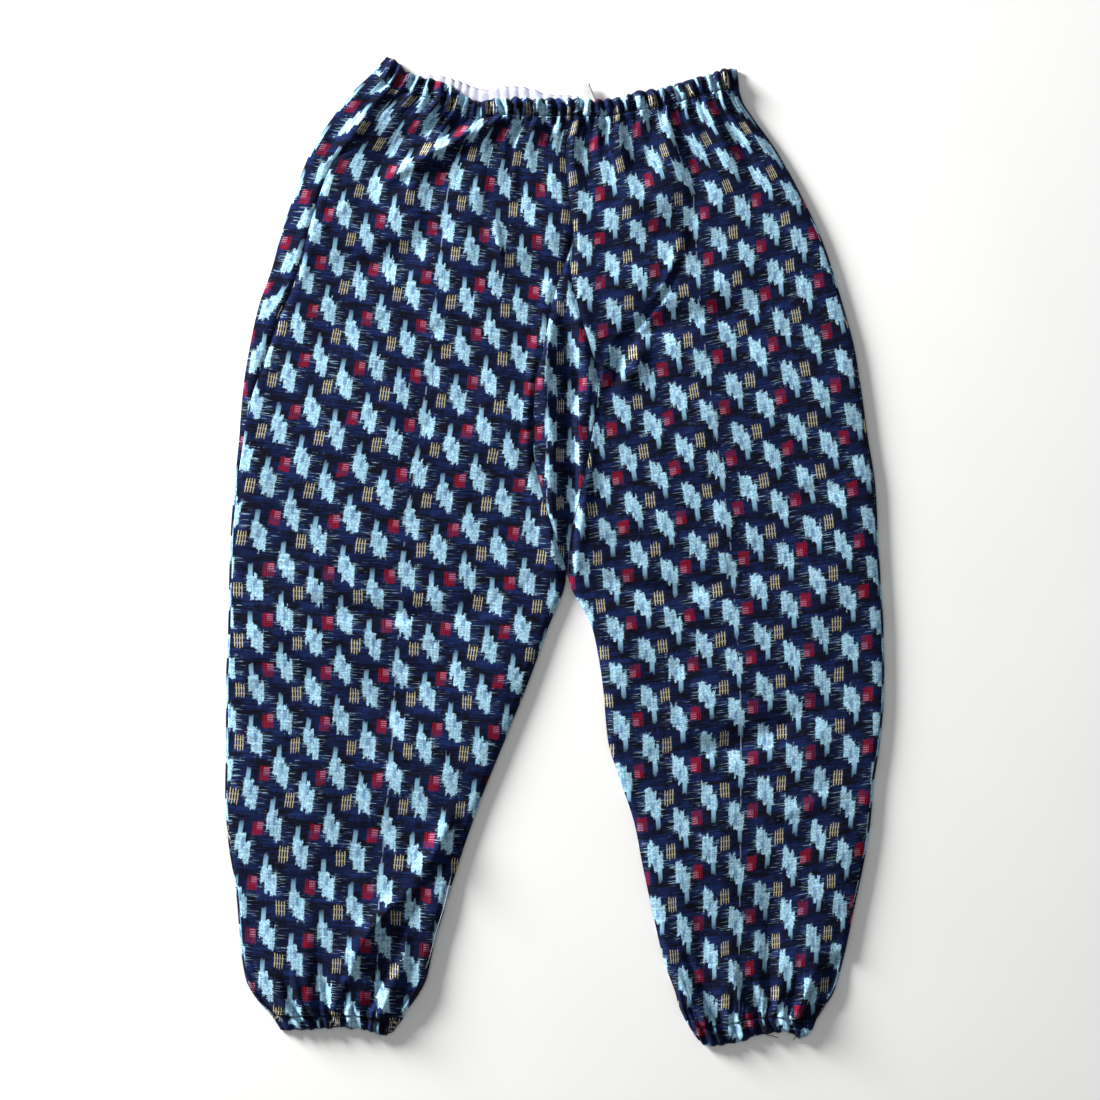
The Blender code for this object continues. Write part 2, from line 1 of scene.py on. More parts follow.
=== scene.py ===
"""Looks of the monpe: double-ikat cotton over the plain solids, laid flat on a pale floor.

A place on the garment is given by two measures in millimetres: x, across from its
middle and positive to the viewer's right, and down, from the highest corner of the
waist. The wearer's right leg is on the viewer's left. The tables and the functions up
to the class Leg are those of the part's source, with finer steps.
"""

import collections
import math

import bmesh
import bpy
import numpy as np
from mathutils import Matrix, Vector


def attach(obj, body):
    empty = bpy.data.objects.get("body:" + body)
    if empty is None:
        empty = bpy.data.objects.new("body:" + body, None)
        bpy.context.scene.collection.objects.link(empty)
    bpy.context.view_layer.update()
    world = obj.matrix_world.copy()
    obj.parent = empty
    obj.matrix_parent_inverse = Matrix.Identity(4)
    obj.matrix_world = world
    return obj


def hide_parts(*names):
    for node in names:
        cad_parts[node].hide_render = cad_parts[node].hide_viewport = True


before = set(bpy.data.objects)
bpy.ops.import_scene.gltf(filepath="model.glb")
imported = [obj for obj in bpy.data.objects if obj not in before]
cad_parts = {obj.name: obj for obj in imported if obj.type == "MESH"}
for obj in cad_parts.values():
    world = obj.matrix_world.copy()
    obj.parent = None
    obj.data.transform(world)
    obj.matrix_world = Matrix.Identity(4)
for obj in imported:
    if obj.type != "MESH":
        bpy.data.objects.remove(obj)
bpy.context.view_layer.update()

MM = 0.001

# Driving dimensions, in millimetres. MIDDLE is the (x, down) of the middle of the garment's
# box, which becomes the origin.
MIDDLE = (0.12, 465.33)
SEAM_GAP = 0.3
BACK_WALL = 1.4
FACING_WALL = 1.0
TAPE_WIDTH = 10.5

# Heights of the top of the cloth where two layers meet at an edge, in millimetres
SIDE_HEIGHT = 3.6
WAIST_HEIGHT = 5.4
FACING_FLOOR = BACK_WALL + SEAM_GAP
FACING_RIB = 0.6
TAPE_FLOOR = FACING_FLOOR + FACING_WALL + FACING_RIB + SEAM_GAP

# Gathers drawn up by the elastic
WAIST_GATHERS = 36
YOKE_FOLD_REACH = 34
CUFF_GATHERS = 12
SCALLOP = 0.8

# Tape loop: its sewn foot and its fold as (x, down), how far its second run stands to one
# side at the foot, the radius of its fold, and each straight run's share of its length
TAPE_FOOT = (29.0, 50.0)
TAPE_PEAK = (28.0, 26.5)
TAPE_SPLAY = 7.5
TAPE_FOLD = 1.15
TAPE_RUN = 0.4

# How quickly the cloth rounds up from a folded edge, and the fold's own reach, in millimetres
EDGE_ROLL = 7
FOLD_REACH = 1.9

# Where the gusset starts and ends, and the stretch over which the inner legs begin to round
GUSSET_TOP = 177
CROTCH_DOWN = 487
CROTCH_SOFTENING = 50

# One row for each rib line of the front casing, from the wearer's right to left:
# where it meets the top edge and where it meets the leg panels
Rib = collections.namedtuple("Rib", "top_x top_down low_x low_down")
WAIST_RIBS = (
    Rib(-157.5, 0.4, -170.5, 16.0),
    Rib(-149.0, 4.7, -161.0, 23.5),
    Rib(-140.5, 14.0, -151.0, 32.0),
    Rib(-130.0, 19.0, -137.5, 36.5),
    Rib(-117.0, 22.5, -121.5, 40.5),
    Rib(-101.0, 27.0, -105.0, 45.0),
    Rib(-86.0, 36.5, -90.0, 53.5),
    Rib(-70.0, 43.0, -71.0, 60.0),
    Rib(-53.0, 40.5, -51.0, 57.5),
    Rib(-32.5, 40.5, -31.5, 57.5),
    Rib(-9.0, 40.5, -8.0, 57.5),
    Rib(15.5, 40.5, 15.5, 57.5),
    Rib(43.0, 41.5, 43.5, 58.5),
    Rib(69.0, 36.5, 72.0, 53.5),
    Rib(94.5, 32.0, 99.0, 49.0),
    Rib(121.5, 24.5, 127.5, 41.5),
    Rib(144.0, 18.0, 149.0, 35.5),
    Rib(159.0, 13.0, 162.0, 33.0),
    Rib(171.5, 12.5, 173.5, 33.0),
)
CENTRE_SEAM_RIB = 11

# How far the back waist stands above the front's top edge, by x
BACK_RISE = (
    (-157, -1.0), (-130, -0.5), (-122, 3.0), (-108, 5.5), (-97, 7.0), (-86, 11.0), (-72, 12.0),
    (-62, 9.5), (-50, 11.0), (-38, 11.0), (-20, 8.5), (-8, 4.5), (12, 3.0), (26, 1.5), (44, -0.5),
    (171, -1.0),
)

# Leg outlines, a row for each level down the leg
RIGHT_LEG_COLUMNS = ("down", "outer", "inner")
RIGHT_LEG = (
    (16, -171.5, 15.5), (38, -194, 15.5), (57.5, -209, 15.5), (90, -230, 10.5), (130, -245, 13),
    (169, -258, 17.5), (201, -266.5, 7), (235, -278.5, -2.5), (274, -287, -10), (312, -293, -18.5),
    (367, -297.5, -20), (406, -301.5, -12.5), (455, -305, 1.5), (488, -306, 11), (538, -307, -6),
    (590, -309, -25), (643, -309, -46.5), (696, -309.7, -68), (735, -307, -82), (788, -299, -99),
    (840, -294.5, -114), (867, -290, -120), (887, -279, -131), (900, -266.5, -141.5),
)
LEFT_LEG_COLUMNS = ("down", "inner", "outer")
LEFT_LEG = (
    (33, 15.5, 173.5), (44, 15.5, 177), (57.5, 15.5, 186), (90, 10.5, 209), (130, 13, 231),
    (169, 17.5, 249.5), (201, 15.5, 261), (235, 22, 271), (274, 33.5, 281.5), (307, 41, 287),
    (360, 34.5, 294.5), (406, 26, 301.5), (455, 14.5, 304), (488, 12.5, 306), (538, 35, 309),
    (590, 44.5, 309.7), (643, 49.5, 306), (682, 61.5, 300), (722, 74.5, 296.5), (761, 82, 290),
    (801, 90.5, 281.5), (854, 103, 270), (880, 112.5, 262), (893, 116, 254), (905, 121.5, 246),
)

# How far the back of the right leg rolls over its front, from the outline to the side seam
SIDE_ROLL = (
    (30, 30), (49, 33), (60, 32), (73, 29), (87, 22), (112, 21.5), (139, 22), (172, 24),
    (211, 23.5), (248, 20), (286, 14.5), (323, 8), (361, 4.5), (417, 2.8), (900, 2.5),
)
PLAIN_ROLL = ((30, 2.5), (905, 2.5))

# Rib lines of the two cuffs, each from the viewer's left to right
RIGHT_CUFF_RIBS = (
    Rib(-266.5, 900.0, -257.0, 915.5),
    Rib(-247.0, 901.5, -239.0, 914.5),
    Rib(-223.0, 901.5, -218.5, 913.5),
    Rib(-200.0, 900.5, -197.0, 912.5),
    Rib(-176.0, 902.5, -175.5, 915.5),
    Rib(-156.5, 905.0, -161.0, 920.0),
    Rib(-141.5, 903.5, -151.0, 916.5),
)
LEFT_CUFF_RIBS = (
    Rib(121.5, 903.5, 132.0, 921.0),
    Rib(137.0, 911.0, 144.5, 929.7),
    Rib(160.5, 909.5, 167.0, 927.5),
    Rib(184.0, 904.0, 190.5, 920.5),
    Rib(207.5, 902.5, 215.0, 916.5),
    Rib(228.0, 905.0, 232.5, 922.0),
    Rib(246.0, 905.0, 242.0, 915.5),
)

# How high the upper layer stands above its edges, by the level down the garment
LOFT = (
    (30, 5.8), (60, 5.0), (110, 3.8), (200, 3.2), (330, 3.4), (480, 2.8), (620, 2.8), (760, 3.4),
    (850, 4.6), (895, 4.6), (930, 3.6),
)

# The main folds: a soft ridge where rise is positive and a trough where it is negative,
# along a line through its start, bend and end
Fold = collections.namedtuple(
    "Fold", "start_x start_down bend_x bend_down end_x end_down width rise"
)
FOLDS = (
    # Lifted cloth that arches below the right half of the casing
    Fold(-159, 118, -102, 85, -44, 57, 8, 3.0),
    Fold(-44, 57, -21, 64, -6, 88, 8, 2.5),
    Fold(-153, 88, -115, 68, -76, 58, 9, -2.5),
    Fold(-204, 90, -187, 72, -166, 54, 8, 2.0),
    # Gusset, folded inwards along its middle
    Fold(5, 276, 16, 305, 7, 335, 7, -6.0),
    Fold(9, 333, 13, 399, 11, 483, 6, -6.0),
    # Pull from the gusset to the left hip
    Fold(73, 261, 63, 286, 50, 310, 6, -3.0),
    Fold(85, 265, 75, 291, 62, 316, 8, 2.5),
    Fold(54, 288, 94, 256, 176, 241, 12, -2.5),
    Fold(43, 220, 71, 211, 99, 194, 21, 2.0),
    Fold(57, 149, 85, 135, 118, 126, 19, 2.0),
    # Hollows under the waist
    Fold(-211, 194, -155, 194, -108, 159, 15, -2.0),
    Fold(-61, 194, -23, 206, 11, 196, 15, -2.2),
    Fold(114, 159, 137, 178, 148, 201, 13, -2.0),
    # Creases across the thighs and knees
    Fold(-239, 515, -155, 525, -64, 523, 9, -1.8),
    Fold(-256, 545, -211, 588, -160, 620, 11, -1.8),
    Fold(35, 483, 99, 504, 178, 489, 9, -1.8),
    Fold(101, 654, 174, 645, 251, 609, 13, -2.5),
    # Fold that winds down the right shin, and the hollow beside it
    Fold(-96, 711, -110, 743, -126, 769, 8, 3.5),
    Fold(-132, 784, -160, 807, -192, 846, 8, 4.0),
    Fold(-119, 778, -149, 822, -177, 878, 13, -3.0),
    Fold(-145, 850, -157, 873, -164, 897, 8, 2.5),
    # Folds that run into the left cuff
    Fold(133, 870, 146, 891, 159, 912, 6, -3.0),
    Fold(266, 850, 251, 878, 231, 910, 7, -3.0),
    Fold(179, 873, 186, 892, 186, 910, 6, -2.5),
    Fold(203, 775, 207, 822, 203, 859, 24, -2.0),
)
FOLD_STEPS = 40


def smooth_through(rows, at, column=1):
    """A smooth curve through a table's rows, read at these values of its first column.

    It keeps each rise or fall between two rows free of overshoot."""
    known = np.array([row[0] for row in rows], float)
    value = np.array([row[column] for row in rows], float)
    step = np.diff(known)
    slope = np.diff(value) / step
    tangent = np.zeros_like(value)
    same_way = slope[:-1] * slope[1:] > 0
    total = np.where(same_way, slope[:-1] + slope[1:], 1)
    tangent[1:-1] = np.where(same_way, 2 * slope[:-1] * slope[1:] / total, 0)
    tangent[0] = slope[0]
    tangent[-1] = slope[-1]
    at = np.clip(at, known[0], known[-1])
    row = np.clip(np.searchsorted(known, at) - 1, 0, len(step) - 1)
    part = (at - known[row]) / step[row]
    square = part * part
    cube = square * part
    return (
        value[row] * (2 * cube - 3 * square + 1)
        + value[row + 1] * (3 * square - 2 * cube)
        + tangent[row] * step[row] * (cube - 2 * square + part)
        + tangent[row + 1] * step[row] * (cube - square)
    )


def rib_lines(ribs):
    """A table of a casing's ribs with their place along its top edge, from 0 to 1, put first."""
    along = [0.0]
    for before, after in zip(ribs, ribs[1:]):
        reach = math.hypot(after.top_x - before.top_x, after.top_down - before.top_down)
        along.append(along[-1] + reach)
    return [(place / along[-1], *rib) for place, rib in zip(along, ribs)]


WAIST = rib_lines(WAIST_RIBS)
RIGHT_CUFF = rib_lines(RIGHT_CUFF_RIBS)
LEFT_CUFF = rib_lines(LEFT_CUFF_RIBS)
CENTRE_SEAM = WAIST[CENTRE_SEAM_RIB][0]


def casing_plan(lines, along, across):
    """Where a point of a casing lies: across is 0 at its top edge and 1 at its seam."""
    top_x, top_down, low_x, low_down = (smooth_through(lines, along, i) for i in (1, 2, 3, 4))
    return top_x + (low_x - top_x) * across, top_down + (low_down - top_down) * across


def soft_step(value):
    value = np.clip(value, 0, 1)
    return value * value * (3 - 2 * value)


def fold_height(fold, x, down):
    """Height that one fold adds: round across its line, and fading towards its ends."""
    step = np.linspace(0, 1, FOLD_STEPS)
    start, bend, end = (1 - step) * (1 - 2 * step), 4 * step * (1 - step), step * (2 * step - 1)
    line_x = start * fold.start_x + bend * fold.bend_x + end * fold.end_x
    line_down = start * fold.start_down + bend * fold.bend_down + end * fold.end_down
    reach = 3 * fold.width
    near = (x > line_x.min() - reach) & (x < line_x.max() + reach)
    near &= (down > line_down.min() - reach) & (down < line_down.max() + reach)
    apart = np.hypot(x[near, None] - line_x, down[near, None] - line_down)
    height = np.zeros_like(x)
    if near.any():
        fade = 0.35 + 0.65 * np.sin(np.pi * step[apart.argmin(axis=1)])
        height[near] = fold.rise * fade * np.exp(-((apart.min(axis=1) / fold.width) ** 2))
    return height


def front_height(x, down):
    """Height of the top of the front, without the gathers that the elastic draws up."""
    outer_right = x - smooth_through(RIGHT_LEG, down, 1)
    outer_left = smooth_through(LEFT_LEG, down, 2) - x
    inner_right = smooth_through(RIGHT_LEG, down, 2) - x
    inner_left = x - smooth_through(LEFT_LEG, down, 1)
    from_side = np.maximum(np.minimum(outer_right, outer_left), 0)
    from_inseam = np.maximum(np.maximum(inner_right, inner_left), 0)
    side_roll = 1 - np.exp(-from_side / EDGE_ROLL)
    parted = soft_step((down - CROTCH_DOWN + CROTCH_SOFTENING / 2) / CROTCH_SOFTENING)
    inseam_roll = 1 - parted * np.exp(-from_inseam / EDGE_ROLL)
    stands = smooth_through(LOFT, down)
    for fold in FOLDS:
        stands = stands + fold_height(fold, x, down)
    lift = (WAIST_HEIGHT - SIDE_HEIGHT) * np.exp(-np.maximum(down - 35, 0) / 30)
    return SIDE_HEIGHT + lift + np.maximum(stands, 0) * side_roll * inseam_roll


def waist_phase(along):
    """Angle of the gathers along the waist, which lie closer in some places than in others."""
    turns = 2 * np.pi * along
    return WAIST_GATHERS * turns + 1.1 * np.sin(3.3 * turns + 0.6) + 0.8 * np.sin(7.1 * turns + 2)


def gather_strength(along):
    """Gathers are uneven in height, and die away at the two ends of a casing."""
    ends = soft_step(np.minimum(along, 1 - along) / 0.04)
    return ends * (1 + 0.3 * np.sin(2 * np.pi * 5.3 * along + 1))


def cuff_phase(along):
    turns = 2 * np.pi * along
    return CUFF_GATHERS * turns + 0.7 * np.sin(2.3 * turns + 1)


class Leg:
    """One leg: its outline, its stretch of the casing, its cuff and its side seam."""

    def __init__(self, sections, columns, casing_ends, cuff, side_roll):
        self.sections = sections
        self.outer = columns.index("outer")
        self.inner = columns.index("inner")
        self.casing_ends = casing_ends
        self.cuff = cuff if self.outer < self.inner else [
            (1 - row[0], *row[1:]) for row in reversed(cuff)
        ]
        self.side_roll = side_roll

    def along_waist(self, across):
        start, end = self.casing_ends
        return start + (end - start) * across

    def corners(self):
        """Levels of the leg's top and bottom, first at the outer side and then at the inner."""
        tops = [casing_plan(WAIST, np.array([end]), 1)[1][0] for end in self.casing_ends]
        return tops, (self.cuff[0][2], self.cuff[-1][2])

    def plan(self, across, fall):
        """Where a point of the leg lies: across is 0 at the outer side, fall is 0 at the waist.

        The four edges are blended, so a level line follows the casing, then the cuff."""
        top_x, top_down = casing_plan(WAIST, self.along_waist(across), 1)
        low_x, low_down = casing_plan(self.cuff, across, 0)
        tops, lows = self.corners()
        outer_down = tops[0] + (lows[0] - tops[0]) * fall
        inner_down = tops[1] + (lows[1] - tops[1]) * fall
        outer_x = smooth_through(self.sections, outer_down, self.outer)
        inner_x = smooth_through(self.sections, inner_down, self.inner)
        straight_top_x = self.edge_x(self.outer, tops[0]) * (1 - across)
        straight_top_x = straight_top_x + self.edge_x(self.inner, tops[1]) * across
        straight_low_x = self.edge_x(self.outer, lows[0]) * (1 - across)
        straight_low_x = straight_low_x + self.edge_x(self.inner, lows[1]) * across
        straight_top_down = tops[0] * (1 - across) + tops[1] * across
        straight_low_down = lows[0] * (1 - across) + lows[1] * across
        x = outer_x * (1 - across) + inner_x * across
        x = x + (top_x - straight_top_x) * (1 - fall) + (low_x - straight_low_x) * fall
        down = outer_down * (1 - across) + inner_down * across
        down = down + (top_down - straight_top_down) * (1 - fall)
        return x, down + (low_down - straight_low_down) * fall

    def edge_x(self, column, down):
        return smooth_through(self.sections, np.array([float(down)]), column)[0]

    def width(self, fall):
        outer_x, _ = self.plan(np.zeros_like(fall), fall)
        inner_x, _ = self.plan(np.ones_like(fall), fall)
        return np.abs(inner_x - outer_x)

    def seam_share(self, fall):
        """How far across the leg its side seam lies, as a share of the leg's width."""
        _, outer_down = self.plan(np.zeros_like(fall), fall)
        return smooth_through(self.side_roll, outer_down) / self.width(fall)


RIGHT = Leg(RIGHT_LEG, RIGHT_LEG_COLUMNS, (0.0, CENTRE_SEAM), RIGHT_CUFF, SIDE_ROLL)
LEFT = Leg(LEFT_LEG, LEFT_LEG_COLUMNS, (1.0, CENTRE_SEAM), LEFT_CUFF, PLAIN_ROLL)


# Finer steps than the solids': faces across and down
LEG_GRID = (222, 381)
BACK_FLAT_FACES = 60
BACK_ROLL_FACES = 10
ROLLED_CLOTH = 5.0
BACK_OVER_FACES = 16
BACK_ROWS = 240
GUSSET_GRID = (60, 189)
BACK_GUSSET_GRID = (14, 60)
CASING_GRID = (WAIST_GATHERS * 12, 18)
BACK_CASING_GRID = (WAIST_GATHERS * 8, 10)
FACING_GRID = (WAIST_GATHERS * 10, 8)
CUFF_GRID = (CUFF_GATHERS * 14, 16)
TAPE_GRID = (6, 40)

# The inner face of a front piece is plainer: one face for this many across and down
INNER_STEP = 3

# Cloth as it shows: thinner than the solids' walls, and with its main folds deeper
CLOTH = 0.9
FOLD_DEPTH = 2.0
FRONT_LIFT = 1.5

Crease = collections.namedtuple(
    "Crease", "start_x start_down bend_x bend_down end_x end_down width rise"
)
# Smaller creases than the solids carry
CREASES = (
    # Pull from the gusset to the left hip: a lip with a narrow furrow beside it
    Crease(119, 166, 104, 214, 65, 285, 4.5, 3.6),
    Crease(112, 204, 92, 238, 55, 275, 3.4, -6.0),
    Crease(60, 262, 40, 322, 33, 400, 3.4, 2.4),
    Crease(-57, 138, -54, 170, -47, 202, 4, 2.2),
    Crease(-20, 150, -8, 168, 8, 178, 5, 2.0),
    # Into the cuffs
    Crease(124, 846, 141, 882, 157, 908, 3.6, -5.5),
    Crease(157, 862, 171, 873, 179, 898, 4, 3.4),
    Crease(268, 846, 250, 878, 230, 911, 3.8, -5.5),
    Crease(246, 856, 232, 887, 222, 909, 4.5, 3.2),
    Crease(203, 880, 204, 896, 204, 911, 3.2, -4.0),
    Crease(186, 868, 188, 890, 189, 908, 3.6, -3.6),
    Crease(116, 862, 128, 886, 140, 904, 4.0, 3.0),
    Crease(-146, 838, -162, 872, -186, 900, 3.8, -5.0),
    Crease(-176, 826, -192, 862, -206, 899, 4.5, 3.0),
    Crease(-216, 862, -214, 884, -212, 900, 3.6, -3.8),
    Crease(-246, 858, -240, 880, -234, 900, 4.2, 2.8),
    Crease(-134, 806, -142, 846, -150, 892, 4.0, 2.6),
    # Faint creases across the legs
    Crease(-290, 470, -250, 486, -214, 476, 5, 1.4),
    Crease(-176, 646, -140, 668, -104, 664, 6, -1.8),
    Crease(-160, 250, -128, 262, -92, 250, 6, -1.6),
    Crease(70, 560, 112, 574, 150, 566, 6, -1.6),
    Crease(218, 424, 250, 410, 284, 414, 6, -1.6),
    Crease(196, 720, 236, 704, 276, 690, 6, 1.8),
    # Below the right half of the waist
    Crease(124, 88, 131, 132, 128, 176, 9, -2.6),
    Crease(163, 58, 172, 82, 186, 108, 7, -2.2),
    Crease(150, 50, 158, 84, 171, 120, 7, 2.0),
    Crease(57, 66, 62, 95, 70, 132, 9, 2.2),
    Crease(84, 70, 88, 95, 86, 122, 6, -1.8),
    Crease(100, 62, 106, 90, 110, 118, 7, 1.8),
    Crease(70, 214, 112, 224, 168, 214, 14, 2.2),
    # The arch of lifted cloth below the casing, with the hollow above it
    Crease(-154, 116, -98, 84, -47, 58, 4.5, 3.2),
    Crease(-150, 104, -100, 74, -55, 53, 6, -4.0),
    Crease(-47, 58, -26, 62, -10, 84, 4.5, 2.6),
    Crease(-30, 56, -14, 60, -4, 80, 4, -3.0),
    # Below the left half
    Crease(-146, 38, -154, 56, -166, 76, 7, -2.4),
    Crease(-196, 52, -205, 72, -214, 94, 8, -1.6),
    Crease(-120, 96, -134, 120, -152, 150, 7, 1.8),
    Crease(-96, 92, -104, 118, -118, 146, 7, -1.8),
    Crease(-60, 92, -66, 122, -76, 152, 8, 1.6),
    Crease(-30, 96, -32, 122, -40, 150, 6, -1.6),
    Crease(-222, 168, -205, 150, -180, 128, 5, 1.0),
    Crease(-236, 300, -190, 292, -150, 300, 10, 0.7),
    Crease(-150, 372, -110, 360, -70, 372, 9, 0.8),
    # The gusset's hollow, the furrow that runs down from it, and the lips beside them
    Crease(9, 262, 14, 298, 11, 338, 7, -7.0),
    Crease(11, 318, 15, 400, 9, 490, 4.5, -8.0),
    Crease(0, 240, -9, 305, -2, 350, 7, 4.0),
    Crease(22, 240, 30, 305, 23, 350, 7, 4.0),
    Crease(-3, 345, -4, 410, 0, 478, 7, 3.5),
    Crease(22, 345, 27, 410, 19, 478, 7, 3.5),
    Crease(-2, 195, -26, 350, -8, 455, 4, 1.6),
)


# The cloth's grain on each leg, by level: x where the warp thread of the middle runs, how
# much cloth is drawn into each millimetre across, the length along the warp to here, and how
# far the weft falls for each millimetre to the viewer's right
Grain = collections.namedtuple("Grain", "down middle fullness length fall")
RIGHT_GRAIN = (
    Grain(0, -138, 1.60, -398, -0.10),
    Grain(50, -143, 1.42, -348, -0.11),
    Grain(90, -150, 1.24, -308, -0.11),
    Grain(130, -159, 1.12, -267, -0.12),
    Grain(220, -172, 1.07, -172, -0.15),
    Grain(330, -188, 1.00, -59, -0.12),
    Grain(480, -211, 0.96, 90, -0.06),
    Grain(640, -216, 1.03, 252, -0.05),
    Grain(780, -229, 1.00, 383, -0.07),
    Grain(930, -233, 1.00, 527, -0.09),
)
LEFT_GRAIN = (
    Grain(0, 131, 1.60, -400, 0.34),
    Grain(50, 134, 1.42, -350, 0.34),
    Grain(90, 137, 1.24, -305, 0.31),
    Grain(130, 140, 1.12, -260, 0.29),
    Grain(220, 146, 1.06, -160, 0.24),
    Grain(330, 159, 1.01, -49, 0.19),
    Grain(480, 178, 0.99, 104, 0.15),
    Grain(640, 186, 1.01, 268, 0.11),
    Grain(780, 184, 1.10, 404, 0.14),
    Grain(930, 182, 1.20, 551, 0.17),
)


# Above this level the warp threads follow the panel's own fan, up to its casing
FAN_LEVEL = 130
CASING_DEPTH = 19


def cloth_place(grain, x, down):
    """Where a point lies in its cloth: u across the warp and v along it, in millimetres."""
    middle, fullness, length, fall = (smooth_through(grain, down, i) for i in (1, 2, 3, 4))
    return (x - middle) * fullness, length + fall * (x - middle)


def leg_cloth(leg, grain, across, fall):
    """Where a point of a leg lies in its cloth, with the fan of threads under the casing."""
    _, top_down = leg.plan(across, np.zeros_like(across))
    _, low_down = leg.plan(across, np.ones_like(across))
    held = np.maximum(fall, (FAN_LEVEL - top_down) / (low_down - top_down))
    x, down = leg.plan(across, fall)
    held_x, held_down = leg.plan(across, held)
    u, v = cloth_place(grain, held_x, held_down)
    return u, v - np.hypot(x - held_x, down - held_down)


def turned_if(turned, u, v):
    """The left leg's cloth is the right one's turned about, and starts one repeat on."""
    return (-u, -v) if turned else (u - REPEAT_ACROSS, v)


def slackness(x, down, patch, seed):
    """Gentle unevenness of slack cloth, between -1 and 1, in patches of about this size."""
    rng = np.random.default_rng(seed)
    levels = rng.uniform(-1, 1, (64, 64))
    turned_x = (x * 0.8 + down * 0.6) / patch + 32
    turned_down = (down * 0.8 - x * 0.6) / patch + 16
    column, row = np.floor(turned_x).astype(int), np.floor(turned_down).astype(int)
    part_x = soft_step(turned_x - column)
    part_down = soft_step(turned_down - row)

    def level(i, j):
        return levels[(row + j) % 64, (column + i) % 64]

    upper = level(0, 0) * (1 - part_x) + level(1, 0) * part_x
    lower = level(0, 1) * (1 - part_x) + level(1, 1) * part_x
    return upper * (1 - part_down) + lower * part_down


def gather_fan(phase, away, strength):
    """Folds that run on from the gathers and merge as they go: first each, then pairs."""
    single = np.abs(np.cos(phase / 2)) - 0.6
    paired = 2 * np.abs(np.cos(phase / 4 + 0.2)) - 1.2
    wide = 2 * np.abs(np.cos(phase / 8 + 0.6)) - 1.2
    return strength * (
        4.0 * single * np.exp(-away / 16)
        + 2.4 * paired * np.exp(-away / YOKE_FOLD_REACH) * soft_step(away / 14 + 0.2)
        + 1.6 * wide * np.exp(-away / 70) * soft_step(away / 40)
    )


def creased_front(x, down):
    """Height of the front with its main folds deepened and its smaller creases added."""
    height = front_height(x, down) + FRONT_LIFT * soft_step((down - 60) / 80)
    for fold in FOLDS:
        height = height + (FOLD_DEPTH - 1) * fold_height(fold, x, down)
    for crease in CREASES:
        height = height + fold_height(crease, x, down)
    return height


def leg_top(leg, x, down, across, fall):
    """Height of the leg's upper layer, with its gathers' folds and its slackness."""
    tops, lows = leg.corners()
    run = np.mean(lows) - np.mean(tops)
    along = leg.along_waist(across)
    waist_fan = gather_fan(waist_phase(along), fall * run, gather_strength(along))
    height = creased_front(x, down) + waist_fan
    height = height + 1.5 * gather_fan(
        cuff_phase(across), (1 - fall) * run, gather_strength(across)
    )
    inside = soft_step(np.minimum(across, 1 - across) * leg.width(fall) / 20)
    height = height + inside * (
        1.5 * slackness(x, down, 62, 3) + 0.7 * slackness(x, down * 0.6, 24, 8)
        + 0.25 * slackness(x, down, 11, 4)
    )
    return np.maximum(height, SIDE_HEIGHT - 0.5)


def seam_dip(distance, depth=1.2, reach=2.4):
    """A seam pulls the cloth down beside it, with a soft ridge next to the dip."""
    ridge = 0.45 * np.exp(-(((distance - 2.6 * reach) / (1.6 * reach)) ** 2))
    return ridge - depth * np.exp(-((distance / reach) ** 2))


def new_mesh_piece(name, points, faces, uv):
    mesh = bpy.data.meshes.new(name)
    mesh.from_pydata(points, [], faces)
    layer = mesh.uv_layers.new(name="cloth")
    corner = np.empty(len(mesh.loops), int)
    mesh.loops.foreach_get("vertex_index", corner)
    layer.data.foreach_set("uv", (np.asarray(uv)[corner] * MM).ravel())
    drop_unused_points(mesh)
    mesh.shade_smooth()
    piece = bpy.data.objects.new(name, mesh)
    bpy.context.scene.collection.objects.link(piece)
    return piece


def drop_unused_points(mesh):
    """Removes the points that the coarser inner face leaves out."""
    bm = bmesh.new()
    bm.from_mesh(mesh)
    loose = [vertex for vertex in bm.verts if not vertex.link_faces]
    bmesh.ops.delete(bm, geom=loose, context="VERTS")
    bm.to_mesh(mesh)
    bm.free()


def lattice(faces):
    """Shares across and down of a grid's points, row by row."""
    across, down = np.meshgrid(
        np.linspace(0, 1, faces[0] + 1), np.linspace(0, 1, faces[1] + 1)
    )
    return across.ravel(), down.ravel()


def quads(faces, offset=0):
    """Corners of a grid's faces, in the order that faces up when x runs on with across."""
    row = faces[0] + 1
    return [
        (offset + j * row + i, offset + (j + 1) * row + i,
         offset + (j + 1) * row + i + 1, offset + j * row + i + 1)
        for j in range(faces[1]) for i in range(faces[0])
    ]


def rim(faces):
    """A grid's outer points, once round."""
    row = faces[0] + 1
    last = faces[1] * row
    return (
        list(range(0, faces[0])) + [j * row + faces[0] for j in range(faces[1])]
        + [last + i for i in range(faces[0], 0, -1)] + [j * row for j in range(faces[1], 0, -1)]
    )


def in_frame(x, down, height):
    return np.stack([(x - MIDDLE[0]) * MM, (MIDDLE[1] - down) * MM, height * MM], axis=1)


def inner_faces(faces, step, offset):
    """Faces of a coarser inner face, with the grid's own points all along its outer edge."""
    row = faces[0] + 1
    made = []
    for j in range(0, faces[1], step):
        for i in range(0, faces[0], step):
            top = [(i + k, j) for k in range(step if j == 0 else 1)]
            right_step = 1 if i + step == faces[0] else step
            right = [(i + step, j + k) for k in range(0, step, right_step)]
            low_step = 1 if j + step == faces[1] else step
            low = [(i + step - k, j + step) for k in range(0, step, low_step)]
            left_step = 1 if i == 0 else step
            left = [(i, j + step - k) for k in range(0, step, left_step)]
            made.append([offset + b * row + a for a, b in top + right + low + left])
    return made


